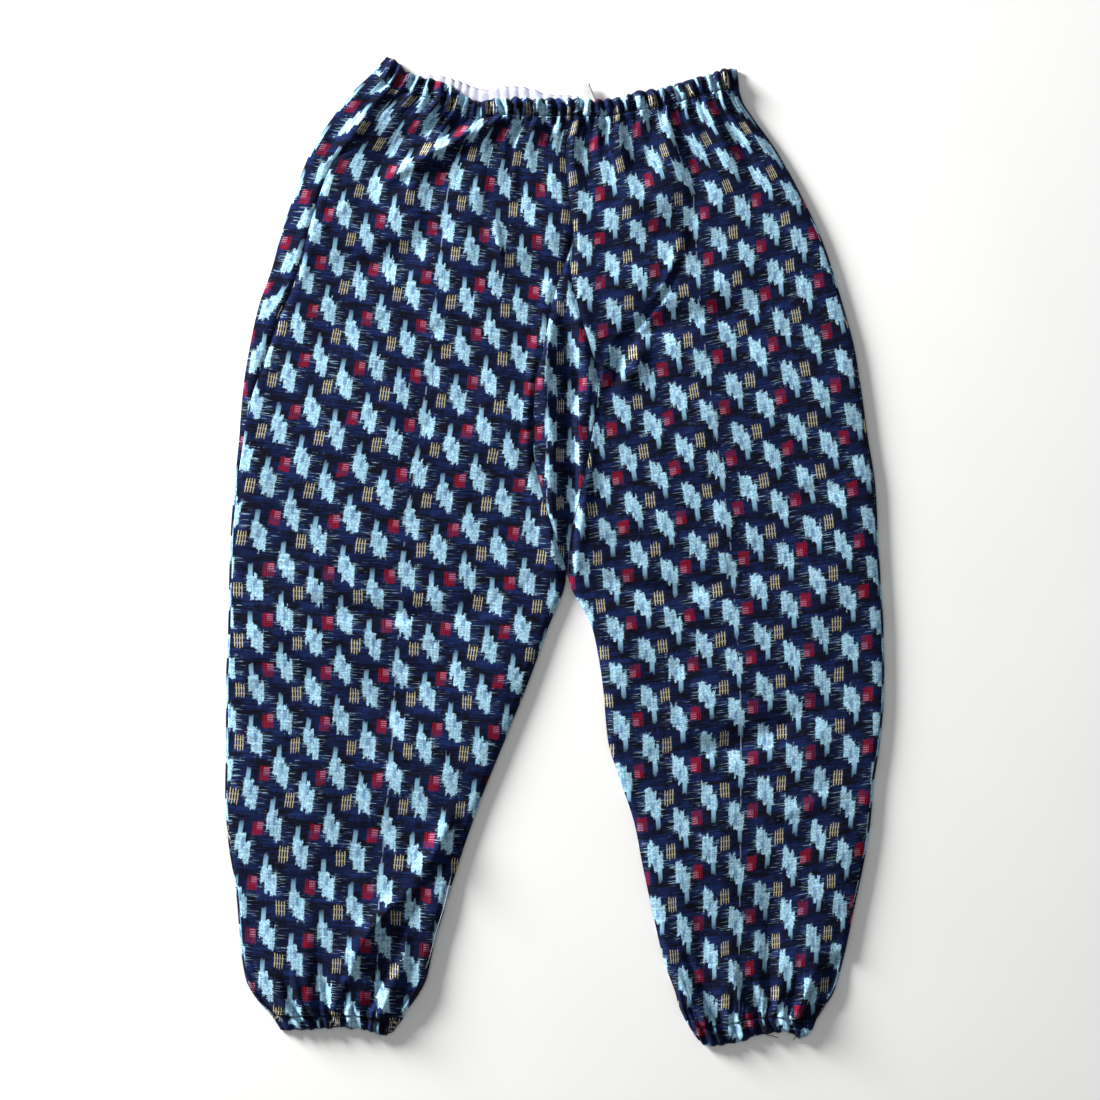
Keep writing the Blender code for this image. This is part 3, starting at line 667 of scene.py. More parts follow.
def closed_sheet(name, faces, x, down, top, under, uv, step=1):
    """A thin shell between two heights, with its faces outward."""
    x, down, top, under = (np.broadcast_to(part, x.shape) for part in (x, down, top, under))
    points = np.concatenate([in_frame(x, down, top), in_frame(x, down, under)])
    count = len(x)
    upper = quads(faces)
    lower = inner_faces(faces, step, count)
    edge = rim(faces)
    sides = [
        (a, b, b + count, a + count) for a, b in zip(edge, edge[1:] + edge[:1])
    ]
    if x[faces[0]] < x[0]:
        upper, lower, sides = ([face[::-1] for face in part] for part in (upper, lower, sides))
    uv = np.stack(uv, axis=1)
    return new_mesh_piece(name, points, upper + lower + sides, np.concatenate([uv, uv]))


def spread(share, strength):
    """Moves evenly spaced shares towards 0 and 1."""
    return share - strength * np.sin(2 * np.pi * share) / (2 * np.pi)


def front_leg(name, leg, gap_side, grain, turned):
    """Front panel, from its side seam to the centre seam, the gusset and the inner leg."""
    share, fall = lattice(LEG_GRID)
    share = spread(share, 0.3)
    fall = spread(fall, 0.35)
    seam = leg.seam_share(fall)
    spot = seam + (1 - seam) * share
    x, down = leg.plan(spot, fall)
    top = leg_top(leg, x, down, spot, fall)
    width = leg.width(fall)
    rolled = soft_step((seam * width - 4) / 10)
    top = top + seam_dip((spot - seam) * width) * rolled + seam_dip((1 - spot) * width, 0.9)
    top = np.maximum(top, BACK_WALL + SEAM_GAP + CLOTH)
    x = x - gap_side * SEAM_GAP / 2 * share
    down = down + SEAM_GAP * ((1 - fall) - fall)
    u, v = leg_cloth(leg, grain, spot, fall)
    u, v = turned_if(turned, u + drawn_cloth(leg, spot, fall), v)
    return closed_sheet(name, LEG_GRID, x, down, top, top - CLOTH, (u, v), INNER_STEP)


def drawn_cloth(leg, across, fall):
    """Cloth that the gathers take up: the pattern is pressed together between them."""
    tops, lows = leg.corners()
    run = np.mean(lows) - np.mean(tops)
    phase = waist_phase(leg.along_waist(across))
    return 0.9 * np.sin(phase) * np.exp(-fall * run / 16)


def front_gusset():
    share, fall = lattice(GUSSET_GRID)
    down = GUSSET_TOP + (CROTCH_DOWN - GUSSET_TOP) * fall
    right = smooth_through(RIGHT_LEG, down, 2) + SEAM_GAP / 2
    left = smooth_through(LEFT_LEG, down, 1) - SEAM_GAP / 2
    x = right + (left - right) * share
    top = creased_front(x, down) + 0.4 * slackness(x, down, 30, 5)
    reach = np.minimum(x - right, left - x)
    top = np.maximum(top + seam_dip(reach, 0.9), BACK_WALL + SEAM_GAP + CLOTH)
    return closed_sheet(
        "gusset_front_cloth", GUSSET_GRID, x, down, top, top - CLOTH,
        (x * 1.3 + 20, down * 1.05 + 11), INNER_STEP,
    )


def back_gusset():
    share, fall = lattice(BACK_GUSSET_GRID)
    down = GUSSET_TOP + (CROTCH_DOWN - GUSSET_TOP) * fall
    right = smooth_through(RIGHT_LEG, down, 2) + SEAM_GAP / 2
    left = smooth_through(LEFT_LEG, down, 1) - SEAM_GAP / 2
    x = right + (left - right) * share
    under = 0.2 + 0.2 * slackness(x, down, 34, 6)
    return closed_sheet(
        "gusset_back_cloth", BACK_GUSSET_GRID, x, down, under + CLOTH, under,
        (x * 1.1 + 5, down + 30),
    )


def back_leg(name, leg, outward, grain, turned):
    """Back panel: flat on the floor, round its outer edge and over to the side seam."""
    flat_share = 1 - np.arange(BACK_FLAT_FACES) / BACK_FLAT_FACES
    roll_share = np.arange(BACK_ROLL_FACES + 1) / BACK_ROLL_FACES
    over_share = np.arange(1, BACK_OVER_FACES + 1) / BACK_OVER_FACES
    kind = np.concatenate([
        np.zeros(len(flat_share)), np.ones(len(roll_share)), np.full(len(over_share), 2),
    ])
    share = np.concatenate([flat_share, roll_share, over_share])
    faces = (len(share) - 1, BACK_ROWS)
    across, fall = lattice(faces)
    step = np.rint(across * faces[0]).astype(int)
    fall = spread(fall, 0.35)
    kind, share = kind[step], share[step]
    width = leg.width(fall)
    inset = FOLD_REACH / width
    flat = inset + (1 - inset - SEAM_GAP / 2 / width) * share
    roll = inset * (1 - np.sin(np.pi * share))
    over = inset + (leg.seam_share(fall) - inset) * share
    spot = np.select([kind == 0, kind == 1], [flat, roll], over)
    x, down = leg.plan(spot, fall)
    rolled_to = leg_top(leg, *leg.plan(inset, fall), inset, fall)
    laid = leg_top(leg, x, down, spot, fall)
    to_seam = (leg.seam_share(fall) - spot) * width
    rolled = soft_step((leg.seam_share(fall) * width - 4) / 10)
    laid = laid + seam_dip(to_seam, 1.0) * soft_step(spot * width / 6) * rolled
    laid = np.maximum(laid, BACK_WALL + SEAM_GAP + CLOTH)
    lying = 0.25 + 0.25 * slackness(x, down, 40, 9) * soft_step(spot * width / 15)
    height = np.select(
        [kind == 0, kind == 1],
        [lying, 0.25 + (rolled_to - 0.25) * (1 - np.cos(np.pi * share)) / 2], laid,
    )
    down = down + SEAM_GAP * ((1 - fall) - fall)
    u, v = turned_if(turned, *leg_cloth(leg, grain, spot, fall))
    edge_u, _ = turned_if(turned, *leg_cloth(leg, grain, np.zeros_like(fall), fall))
    # The cloth runs on round the edge, so on the far side its place is counted from there
    turning = edge_u + 4 - ROLLED_CLOTH * share
    u = np.select([kind == 0, kind == 1], [u + 4, turning], 2 * edge_u - u + 4 - ROLLED_CLOTH)
    points = in_frame(x, down, height)
    uv = np.stack([u, v + 15], axis=1)
    corners = quads(faces)
    if not outward:
        corners = [face[::-1] for face in corners]
    piece = new_mesh_piece(name, points, corners, uv)
    thicken(piece, CLOTH)
    return piece


def thicken(piece, thickness):
    """Gives an open sheet its thickness, towards its back, as plain mesh."""
    solid = piece.modifiers.new("cloth", "SOLIDIFY")
    solid.thickness = thickness * MM
    solid.offset = -1
    graph = bpy.context.evaluated_depsgraph_get()
    made = bpy.data.meshes.new_from_object(piece.evaluated_get(graph))
    piece.modifiers.clear()
    piece.data = made


def casing_cloth(along, across):
    """The waist casing is the top of the legs' own cloth, turned in."""
    places = []
    for leg, grain, turned in ((RIGHT, RIGHT_GRAIN, False), (LEFT, LEFT_GRAIN, True)):
        start, end = leg.casing_ends
        share = np.clip((along - start) / (end - start), 0, 1)
        u, v = leg_cloth(leg, grain, share, np.zeros_like(share))
        places.append(turned_if(turned, u, v - (1 - across) * CASING_DEPTH))
    on_right = along < CENTRE_SEAM
    return [np.where(on_right, *pair) for pair in zip(*places)]


def gather_wave(phase):
    """Gathers with round tops and narrow valleys, from 0 to 1."""
    return np.abs(np.cos(phase / 2)) ** 1.1


def front_casing_shape(along, across):
    """Where a point of the front casing lies, its height, and the phase of its gathers."""
    x, down = casing_plan(WAIST, along, across)
    phase = waist_phase(along) + 0.5 * np.sin(5 * across + 40 * along)
    strength = gather_strength(along) * (1 + 0.35 * slackness(x, down, 16, 2))
    wave = gather_wave(phase) * strength
    ruffle = SCALLOP * (2.4 * wave - 1) + 0.9 * slackness(x, down * 0, 7, 12)
    down = down - ruffle * (1 - across) ** 2
    ends = 1 - np.exp(-np.minimum(along, 1 - along) * 330 / EDGE_ROLL)
    loft = smooth_through(LOFT, down) * ends
    rounding = (1 - np.exp(-across / 0.09)) * (1 - 0.55 * np.exp(-(1 - across) / 0.12))
    top = WAIST_HEIGHT - 1.8 + (loft * 0.5 + 5.6 * wave) * rounding
    return x, down, top, phase


def front_casing():
    along, across = lattice(CASING_GRID)
    x, down, top, phase = front_casing_shape(along, across)
    u, v = casing_cloth(along, across)
    return closed_sheet(
        "waistband_front_cloth", CASING_GRID, x, down, top, top - CLOTH,
        (u + 1.6 * np.sin(phase), v),
    )


def back_casing():
    along, across = lattice(BACK_CASING_GRID)
    x, down = casing_plan(WAIST, along, across)
    wave = gather_wave(waist_phase(along) + 1) * gather_strength(along)
    down = down - (back_rise(along) + 0.4 * wave) * (1 - across)
    under = 0.5 * (1 - np.clip(wave, 0, 1)) * (1 - 0.3 * across)
    u, v = casing_cloth(along, across)
    u = u + 1.6 * np.sin(waist_phase(along) + 1)
    return closed_sheet(
        "waistband_back_cloth", BACK_CASING_GRID, x, down, under + CLOTH, under, (u, v)
    )


def back_rise(along):
    """Plan shift of the back waist above the front's top edge."""
    top_x, _ = casing_plan(WAIST, along, 0)
    return smooth_through(BACK_RISE, top_x)


def back_facing():
    """White facing, ribbed by the gathers. Its u runs along the waist and v down from the edge."""
    along, across = lattice(FACING_GRID)
    x, down = casing_plan(WAIST, along, across)
    wave = gather_wave(waist_phase(along) + 1) * gather_strength(along)
    rise = back_rise(along)
    down = down - (rise + 1.2 * wave - 0.4) * (1 - across)
    under = FACING_FLOOR
    edge = 1 - 0.5 * np.exp(-across / 0.08)
    top = under + FACING_WALL * edge + 0.6 * wave * (0.35 + 0.65 * edge)
    length = 370 * along
    return closed_sheet(
        "facing_cloth", FACING_GRID, x, down, top, under, (length, 17 * across)
    )


def tape_loop():
    """Flat tape, doubled, with its fold standing out above the front edge."""
    across, share = lattice(TAPE_GRID)
    run = np.clip(np.minimum(share, 1 - share) / TAPE_RUN, 0, 1)
    turn = np.pi * np.clip((share - TAPE_RUN) / (1 - 2 * TAPE_RUN), 0, 1)
    down = TAPE_FOOT[1] + (TAPE_PEAK[1] + TAPE_FOLD - TAPE_FOOT[1]) * run - TAPE_FOLD * np.sin(turn)
    height = TAPE_FLOOR + TAPE_FOLD * (1 - np.cos(turn)) + 0.12 * np.sin(across * 5 + share * 9)
    middle = TAPE_FOOT[0] + (TAPE_PEAK[0] - TAPE_FOOT[0]) * run
    middle = middle + np.where(share > 0.5, TAPE_SPLAY * (1 - run), 0)
    x = middle + (across - 0.5) * TAPE_WIDTH
    points = in_frame(x, down, height)
    uv = np.stack([across * TAPE_WIDTH, share * 52], axis=1)
    piece = new_mesh_piece("tape_loop_cloth", points, quads(TAPE_GRID), uv)
    thicken(piece, 0.6)
    return piece


def front_cuff_shape(leg, along, across):
    """Where a point of a front cuff lies, its height, and the phase of its gathers."""
    x, down = casing_plan(leg.cuff, along, across)
    phase = cuff_phase(along) + 0.4 * np.sin(4 * across + 30 * along)
    wave = gather_wave(phase) * gather_strength(along)
    ruffle = SCALLOP * (1.8 * wave - 0.6) + 0.8 * slackness(x, down * 0, 6, 14)
    down = down + ruffle * across**2
    ends = 1 - np.exp(-np.minimum(along, 1 - along) * 125 / EDGE_ROLL)
    rounding = (1 - 0.45 * np.exp(-across / 0.14)) * (1 - np.exp(-(1 - across) / 0.12))
    loft = smooth_through(LOFT, down) * ends
    top = SIDE_HEIGHT - 0.8 + (loft * 0.6 + 4.6 * wave * ends) * rounding
    return x, down, np.maximum(top, BACK_WALL + SEAM_GAP + CLOTH), phase


def front_cuff(name, leg, grain, turned):
    along, across = lattice(CUFF_GRID)
    x, down, top, phase = front_cuff_shape(leg, along, across)
    u, v = turned_if(turned, *cloth_place(grain, x, down))
    return closed_sheet(
        name, CUFF_GRID, x, down, top, top - CLOTH, (u + 1.4 * np.sin(phase), v)
    )


def back_cuff(name, leg, grain, turned):
    along, across = lattice(CUFF_GRID)
    x, down = casing_plan(leg.cuff, along, across)
    wave = gather_wave(cuff_phase(along) + 1) * gather_strength(along)
    under = 0.5 * (1 - np.clip(wave, 0, 1))
    u, v = turned_if(turned, *cloth_place(grain, x, down))
    return closed_sheet(
        name, CUFF_GRID, x, down, under + CLOTH, under, (u + 1.4 * np.sin(cuff_phase(along)), v)
    )


STITCH_PITCH = 3.4
STITCH_LENGTH = 2.3
STITCH_RADIUS = 0.28


def new_line(name, x, down, height):
    """A curve object through these points."""
    curve = bpy.data.curves.new(name, "CURVE")
    curve.dimensions = "3D"
    spline = curve.splines.new("POLY")
    spline.points.add(len(x) - 1)
    for point, spot in zip(spline.points, in_frame(x, down, height)):
        point.co = (*spot, 1)
    line = bpy.data.objects.new(name, curve)
    bpy.context.scene.collection.objects.link(line)
    return line


def as_mesh_piece(source, name):
    """The object's evaluated shape as plain mesh, in a new object; the source is removed."""
    graph = bpy.context.evaluated_depsgraph_get()
    mesh = bpy.data.meshes.new_from_object(source.evaluated_get(graph))
    mesh.name = name
    bpy.data.objects.remove(source, do_unlink=True)
    mesh.shade_smooth()
    piece = bpy.data.objects.new(name, mesh)
    bpy.context.scene.collection.objects.link(piece)
    return piece


def stitch_tree(material):
    """Node tree that sets short threads end to end along a line, each a little uneven."""
    tree = bpy.data.node_groups.new("row of stitches", "GeometryNodeTree")
    face = tree.interface
    face.new_socket("Line", in_out="INPUT", socket_type="NodeSocketGeometry")
    for label, value in (
        ("Pitch", STITCH_PITCH), ("Length", STITCH_LENGTH), ("Radius", STITCH_RADIUS)
    ):
        socket = face.new_socket(label, in_out="INPUT", socket_type="NodeSocketFloat")
        socket.default_value = value * MM
    face.new_socket("Stitches", in_out="OUTPUT", socket_type="NodeSocketGeometry")
    enter = tree.nodes.new("NodeGroupInput")
    leave = tree.nodes.new("NodeGroupOutput")

    def node(kind, inputs, **settings):
        made = tree.nodes.new(kind)
        for key, value in settings.items():
            setattr(made, key, value)
        for key, value in inputs.items():
            if isinstance(value, bpy.types.NodeSocket):
                tree.links.new(value, made.inputs[key])
            else:
                made.inputs[key].default_value = value
        return made

    points = node(
        "GeometryNodeResampleCurve", {"Curve": enter.outputs["Line"],
                                      "Length": enter.outputs["Pitch"]}, mode="LENGTH"
    )
    tangent = tree.nodes.new("GeometryNodeInputTangent")
    facing = node(
        "FunctionNodeAlignRotationToVector", {"Vector": tangent.outputs[0]}, axis="X"
    )
    bead = node(
        "GeometryNodeMeshUVSphere",
        {"Segments": 6, "Rings": 5, "Radius": enter.outputs["Radius"]},
    )
    stretch = node(
        "ShaderNodeMath",
        {0: enter.outputs["Length"], 1: enter.outputs["Radius"]}, operation="DIVIDE",
    )
    half = node("ShaderNodeMath", {0: stretch.outputs[0], 1: 0.5}, operation="MULTIPLY")
    uneven = node(
        "FunctionNodeRandomValue", {2: 0.8, 3: 1.1, "Seed": 7}, data_type="FLOAT"
    )
    length = node(
        "ShaderNodeMath", {0: half.outputs[0], 1: uneven.outputs[1]}, operation="MULTIPLY"
    )
    size = node("ShaderNodeCombineXYZ", {0: length.outputs[0], 1: 1.0, 2: 0.8})
    placed = node(
        "GeometryNodeInstanceOnPoints",
        {"Points": points.outputs[0], "Instance": bead.outputs[0],
         "Rotation": facing.outputs[0], "Scale": size.outputs[0]},
    )
    real = node("GeometryNodeRealizeInstances", {0: placed.outputs[0]})
    coloured = node("GeometryNodeSetMaterial", {0: real.outputs[0], "Material": material})
    tree.links.new(coloured.outputs[0], leave.inputs[0])
    return tree


def stitched(name, line, tree):
    row = line.modifiers.new("row of stitches", "NODES")
    row.node_group = tree
    return as_mesh_piece(line, name)


def thread(name, spots, radius, material):
    """A loose thread through these points, each x, down and height."""
    x, down, height = (np.array(part, float) for part in zip(*spots))
    step = np.linspace(0, len(x) - 1, (len(x) - 1) * 8 + 1)
    rows = [np.stack([np.arange(len(x)), part], axis=1) for part in (x, down, height)]
    line = new_line(name, *(smooth_through(part, step) for part in rows))
    line.data.bevel_depth = radius * MM
    line.data.bevel_resolution = 1
    line.data.use_fill_caps = True
    piece = as_mesh_piece(line, name)
    piece.data.materials.clear()
    piece.data.materials.append(material)
    return piece


def twisted_thread(name, low, high):
    """Cotton sewing thread, with its twist showing as fine slanting ridges."""
    material = bpy.data.materials.new(name)
    material.use_nodes = True
    tree = material.node_tree
    coordinates = tree.nodes.new("ShaderNodeTexCoord")
    place = Field(tree, coordinates.outputs["Object"])
    shader = tree.nodes["Principled BSDF"]
    tone = noise(place, 600.0)
    link(tone.ramp(0.3, 0.7).blend(low, high), shader, "Base Color")
    twist = place.node("ShaderNodeTexWave", {"Vector": place, "Scale": 900.0}, output=1)
    bump = twist.node(
        "ShaderNodeBump", {"Height": twist, "Strength": 0.4, "Distance": 0.0001}
    )
    link(bump, shader, "Normal")
    link(0.6 + tone * 0.3, shader, "Roughness")
    return material


class Field:
    """A value in a material's node tree, which is reckoned with like a number."""

    def __init__(self, tree, socket):
        self.tree = tree
        self.socket = socket

    def node(self, kind, inputs=None, output=0, **settings):
        """Any other node: its inputs by name or number, and its settings by name."""
        made = self.tree.nodes.new(kind)
        for key, value in settings.items():
            setattr(made, key, value)
        for key, value in (inputs or {}).items():
            if isinstance(value, Field):
                self.tree.links.new(value.socket, made.inputs[key])
            else:
                made.inputs[key].default_value = value
        return Field(self.tree, made.outputs[output])

    def math(self, operation, *others, first=None):
        values = [self if first is None else first, *others]
        return self.node(
            "ShaderNodeMath", dict(enumerate(values)), operation=operation
        )

    def __add__(self, other):
        return self.math("ADD", other)

    __radd__ = __add__

    def __sub__(self, other):
        return self.math("SUBTRACT", other)

    def __rsub__(self, other):
        return self.math("SUBTRACT", self, first=other)

    def __mul__(self, other):
        return self.math("MULTIPLY", other)

    __rmul__ = __mul__

    def __truediv__(self, other):
        return self.math("DIVIDE", other)

    def floor(self):
        return self.math("FLOOR")

    def least(self, other):
        return self.math("MINIMUM", other)

    def most(self, other):
        return self.math("MAXIMUM", other)

    def size(self):
        return self.math("ABSOLUTE")

    def ramp(self, start, end):
        """0 at start and 1 at end, with soft turns."""
        return self.node(
            "ShaderNodeMapRange",
            {"Value": self, "From Min": start, "From Max": end},
            interpolation_type="SMOOTHSTEP",
        )

    def blend(self, one, other):
        """Mixes two colours by this value."""
        return self.node(
            "ShaderNodeMix", {0: self, 6: one, 7: other}, output=2, data_type="RGBA"
        )


def srgb(red, green, blue):
    """A colour from its 0 to 255 values on screen."""
    parts = []
    for part in (red, green, blue):
        part = part / 255
        parts.append(part / 12.92 if part <= 0.04045 else ((part + 0.055) / 1.055) ** 2.4)
    return (*parts, 1.0)


def new_material(name):
    """A material with its shader, its tree and its place in the cloth, u and v in millimetres."""
    material = bpy.data.materials.new(name)
    material.use_nodes = True
    tree = material.node_tree
    shader = tree.nodes["Principled BSDF"]
    uv_map = tree.nodes.new("ShaderNodeUVMap")
    uv_map.uv_map = "cloth"
    place = Field(tree, uv_map.outputs[0])
    scaled = place.node(
        "ShaderNodeVectorMath", {0: place, 1: (1000, 1000, 1000)}, operation="MULTIPLY"
    )
    u = scaled.node("ShaderNodeSeparateXYZ", {0: scaled}, output=0)
    v = scaled.node("ShaderNodeSeparateXYZ", {0: scaled}, output=1)
    return material, shader, scaled, u, v


def link(field, shader, name):
    field.tree.links.new(field.socket, shader.inputs[name])


def noise(place, scale, detail=2.0, stretch=(1, 1, 1)):
    """Soft noise from 0 to 1, with so many waves to the millimetre."""
    moved = place.node(
        "ShaderNodeVectorMath", {0: place, 1: stretch}, operation="MULTIPLY"
    )
    return place.node(
        "ShaderNodeTexNoise", {"Vector": moved, "Scale": scale, "Detail": detail}
    )


def chance(across, along, seed):
    """Two unrelated values from 0 to 1 for each pair of whole numbers."""
    spot = across.node("ShaderNodeCombineXYZ", {0: across, 1: along, 2: float(seed)})
    colour = spot.node(
        "ShaderNodeTexWhiteNoise", {"Vector": spot}, output=1, noise_dimensions="3D"
    )
    parts = [
        colour.node("ShaderNodeSeparateColor", {0: colour}, output=i) for i in (0, 1)
    ]
    return parts


# The pattern's repeat, in millimetres: across the warp and along it. Its two figures differ
# only in their bundle of plain threads, red in one and cream in the other.
REPEAT_ACROSS = 54.5
REPEAT_ALONG = 47.9
CREAM_SHIFT = (-0.505 * REPEAT_ACROSS, -0.56 * REPEAT_ALONG)
FIGURE_LEFT = -12.0
FIGURE_TOP = -31.0
THREAD = 0.95
TIED_WARP = 2.7

# One undyed warp thread runs the whole way down each leg, at this place across the cloth
PALE_THREAD = 11.2

# Dyed areas of a figure from the middle of its bundle, in millimetres, with the softness of
# their ends
Area = collections.namedtuple("Area", "left right top bottom soft")
TAIL = Area(9.4, 13.6, -26.5, -12.0, 1.2)
SHOULDER = Area(8.0, 17.6, -15.5, -1.0, 0.7)
BELLY = Area(12.0, 21.6, -8.0, 7.0, 0.7)
FLANK = Area(17.4, 22.8, -9.5, 10.0, 0.7)
EYE = Area(14.2, 17.6, -11.0, -3.0, 1.2)
BUNDLE = Area(-4.8, 4.8, -6.4, 6.4, 0.9)
SMEAR = Area(4.0, 30.0, 5.0, 14.0, 5.0)
LEFT_SMEAR = Area(-6.0, 10.0, -1.0, 9.0, 5.0)


Figure = collections.namedtuple(
    "Figure", "p q light eye tail streak smear bundle tone"
)


def in_area(area, p, q):
    """1 inside a dyed area and 0 outside it."""
    sides = (p - area.left).least(area.right - p)
    ends = (q - area.top).least(area.bottom - q)
    return sides.least(ends).ramp(-area.soft / 2, area.soft / 2)


def figure(u, v, shift, seed, drawn_threads):
    """The dyed areas of one figure, and a tone for each of its threads."""
    from_left = (u - shift[0]) - FIGURE_LEFT
    from_top = (v - shift[1]) - FIGURE_TOP
    column = (from_left / REPEAT_ACROSS).floor()
    row = (from_top / REPEAT_ALONG).floor()
    p = from_left - column * REPEAT_ACROSS + FIGURE_LEFT
    q = from_top - row * REPEAT_ALONG + FIGURE_TOP
    warp = (u / THREAD).floor()
    weft = (v / THREAD).floor()
    warp_slip, warp_tone = chance(warp, row, seed)
    weft_slip, weft_reach = chance(weft, column, seed + 5)
    tied_slip, _ = chance((u / TIED_WARP).floor(), row, seed + 11)
    slid_q = q + (warp_slip - 0.5) * 1.4 + (tied_slip - 0.5) * 4.2
    slid_p = p + (weft_slip - 0.5) * 1.1
    light = in_area(SHOULDER, slid_p, slid_q)
    light = light.most(in_area(BELLY, slid_p, slid_q))
    light = light.most(in_area(FLANK, slid_p, slid_q))
    eye = in_area(EYE, slid_p, slid_q)
    tail = in_area(TAIL, p, slid_q) * (q.ramp(-30, -18) * 0.8 + 0.1)
    rows_right = (slid_q + 12).least(11 - slid_q).ramp(-1.5, 1.5)
    rows_left = (slid_q + 17).least(3 - slid_q).ramp(-1.5, 1.5)
    past_right = (p - 22).most(0) * 0.013 + (16 - p).ramp(0, 2)
    past_left = (8 - p).most(0) * 0.022 + (p - 14).ramp(0, 2)
    streak = ((drawn_threads - 0.5 - past_right) * rows_right).ramp(0.0, 0.13).most(
        ((drawn_threads - 0.52 - past_left) * rows_left).ramp(0.0, 0.13)
    )
    smear = in_area(SMEAR, slid_p, slid_q).most(in_area(LEFT_SMEAR, slid_p, slid_q) * 0.8)
    smear = smear * weft_reach.ramp(0.0, 0.9)
    bundle = in_area(BUNDLE, p, q + (warp_slip - 0.5) * 2.2)
    dye, _ = chance(column, row, seed + 17)
    tone = (warp_tone * 0.5 + weft_reach * 0.5) * 1.3 - 0.15 + (dye - 0.5) * 0.3
    return Figure(p, q, light, eye, tail, streak, smear, bundle, tone)


def threads(p, pitch, width):
    """Thin lines along the warp."""
    across = p / pitch
    apart = (across - across.floor() - 0.5).size()
    return apart.ramp(width, width - 0.18)


def ikat():
    material, shader, place, u, v = new_material("indigo_ikat_cloth")
    wander = noise(place, 0.035, 1.0)
    u = u + (wander - 0.5) * 3.0
    v = v + (noise(place, 0.05, 1.0) - 0.5) * 3.0
    dark = noise(place, 0.09, 3.0, (0.45, 1.4, 1)).ramp(0.42, 0.66)
    cloth = dark.blend(srgb(8, 9, 18), srgb(12, 22, 56))
    faint = noise(place, 0.5, 2.0, (0.12, 1.7, 1)).ramp(0.5, 0.74) * 0.55
    cloth = faint.blend(cloth, srgb(24, 44, 102))
    pale = noise(place, 0.4, 3.0).ramp(0.3, 0.75)
    light_colour = pale.blend(srgb(126, 176, 204), srgb(188, 226, 244))
    drawn_threads = noise(place, 1.0, 1.0, (0.07, 1.1, 1))
    for shift, seed, red in (((0, 0), 1, True), (CREAM_SHIFT, 2, False)):
        part = figure(u, v, shift, seed, drawn_threads)
        cloth = (part.smear * 0.75).blend(cloth, srgb(24, 42, 94))
        cloth = part.tail.blend(cloth, srgb(128, 172, 200))
        cloth = (part.streak * (0.25 + part.tone * 0.6)).blend(cloth, srgb(150, 184, 206))
        cloth = (part.light * (0.56 + part.tone * 0.62)).blend(cloth, light_colour)
        cloth = (part.eye * part.light * 0.62).blend(cloth, srgb(64, 100, 148))
        if red:
            lines = threads(part.p, 1.95, 0.40)
            cross = (part.q + 6.5).least(1.0 - part.q).least(part.p + 1.0).ramp(-0.3, 0.8)
            cross = cross * threads(part.q, 2.0, 0.36)
            cloth = (part.bundle * lines * 0.9).blend(cloth, srgb(134, 14, 30))
            cloth = (part.bundle * cross * 0.6).blend(cloth, srgb(178, 120, 150))
        else:
            lines = threads(part.p, 2.45, 0.24)
            cross = threads(part.q, 5.0, 0.18)
            cloth = (part.bundle * lines * 0.85).blend(cloth, srgb(196, 186, 146))
            cloth = (part.bundle * cross * 0.5).blend(cloth, srgb(170, 168, 146))
    warp_line = (u - PALE_THREAD).size().ramp(0.75, 0.35) * noise(place, 0.11, 1.0).ramp(0.42, 0.5)
    cloth = (warp_line * 0.4).blend(cloth, srgb(170, 186, 196))
    # Each thread takes the dye a little differently
    warp_tone, weft_tone = chance((u / 0.6).floor(), (v / 0.6).floor(), 9)
    shade = 0.72 + warp_tone * 0.5
    cloth = cloth.node(
        "ShaderNodeMix",
        {0: 1.0, 6: cloth, 7: shade.node("ShaderNodeCombineColor", {0: shade, 1: shade, 2: shade})},
        output=2, data_type="RGBA", blend_type="MULTIPLY",
    )
    link(cloth, shader, "Base Color")
    rough = 0.84 + weft_tone * 0.1
    link(rough, shader, "Roughness")
    over = (u * (math.pi / 0.6)).math("SINE").size()
    under = (v * (math.pi / 0.6)).math("SINE").size()
    crepe = noise(place, 0.5, 3.0)
    relief = over.most(under) * 0.4 + crepe
    bump = relief.node(
        "ShaderNodeBump", {"Height": relief, "Strength": 0.35, "Distance": 0.0004}
    )
    link(bump, shader, "Normal")
    shader.inputs["Sheen Weight"].default_value = 0.03
    shader.inputs["Sheen Roughness"].default_value = 0.5
    shader.inputs["Specular IOR Level"].default_value = 0.06
    return material


def white_cotton(name, low, high, edge_line):
    """Plain white cotton, with a mauve thread along its edge where edge_line is set."""
    material, shader, place, u, v = new_material(name)
    colour = noise(place, 0.25, 3.0).ramp(0.3, 0.7).blend(low, high)
    if edge_line:
        along_edge = v.ramp(1.1, 0.5) * noise(place, 0.8, 1.0).ramp(0.35, 0.5)
        colour = along_edge.blend(colour, srgb(150, 138, 168))
    link(colour, shader, "Base Color")
    over = (u * (math.pi / 0.5)).math("SINE").size()
    under = (v * (math.pi / 0.5)).math("SINE").size()
    relief = over.most(under)
    bump = relief.node(
        "ShaderNodeBump", {"Height": relief, "Strength": 0.3, "Distance": 0.0002}
    )
    link(bump, shader, "Normal")
    link(0.8 + noise(place, 0.5) * 0.15, shader, "Roughness")
    return material


def floor_paper():
    material = bpy.data.materials.new("pale_floor")
    material.use_nodes = True
    tree = material.node_tree
    shader = tree.nodes["Principled BSDF"]
    coordinates = tree.nodes.new("ShaderNodeTexCoord")
    place = Field(tree, coordinates.outputs["Object"])
    grain = noise(place, 6.0)
    link(grain.blend(srgb(240, 240, 240), srgb(246, 246, 245)), shader, "Base Color")
    shader.inputs["Roughness"].default_value = 0.95
    shader.inputs["Specular IOR Level"].default_value = 0.1
    return material


def dress(piece, node, material):
    """Puts a piece in its solid's place, as cloth of this cut."""
    piece.data.materials.clear()
    piece.data.materials.append(material)
    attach(piece, "root")
    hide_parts(node)


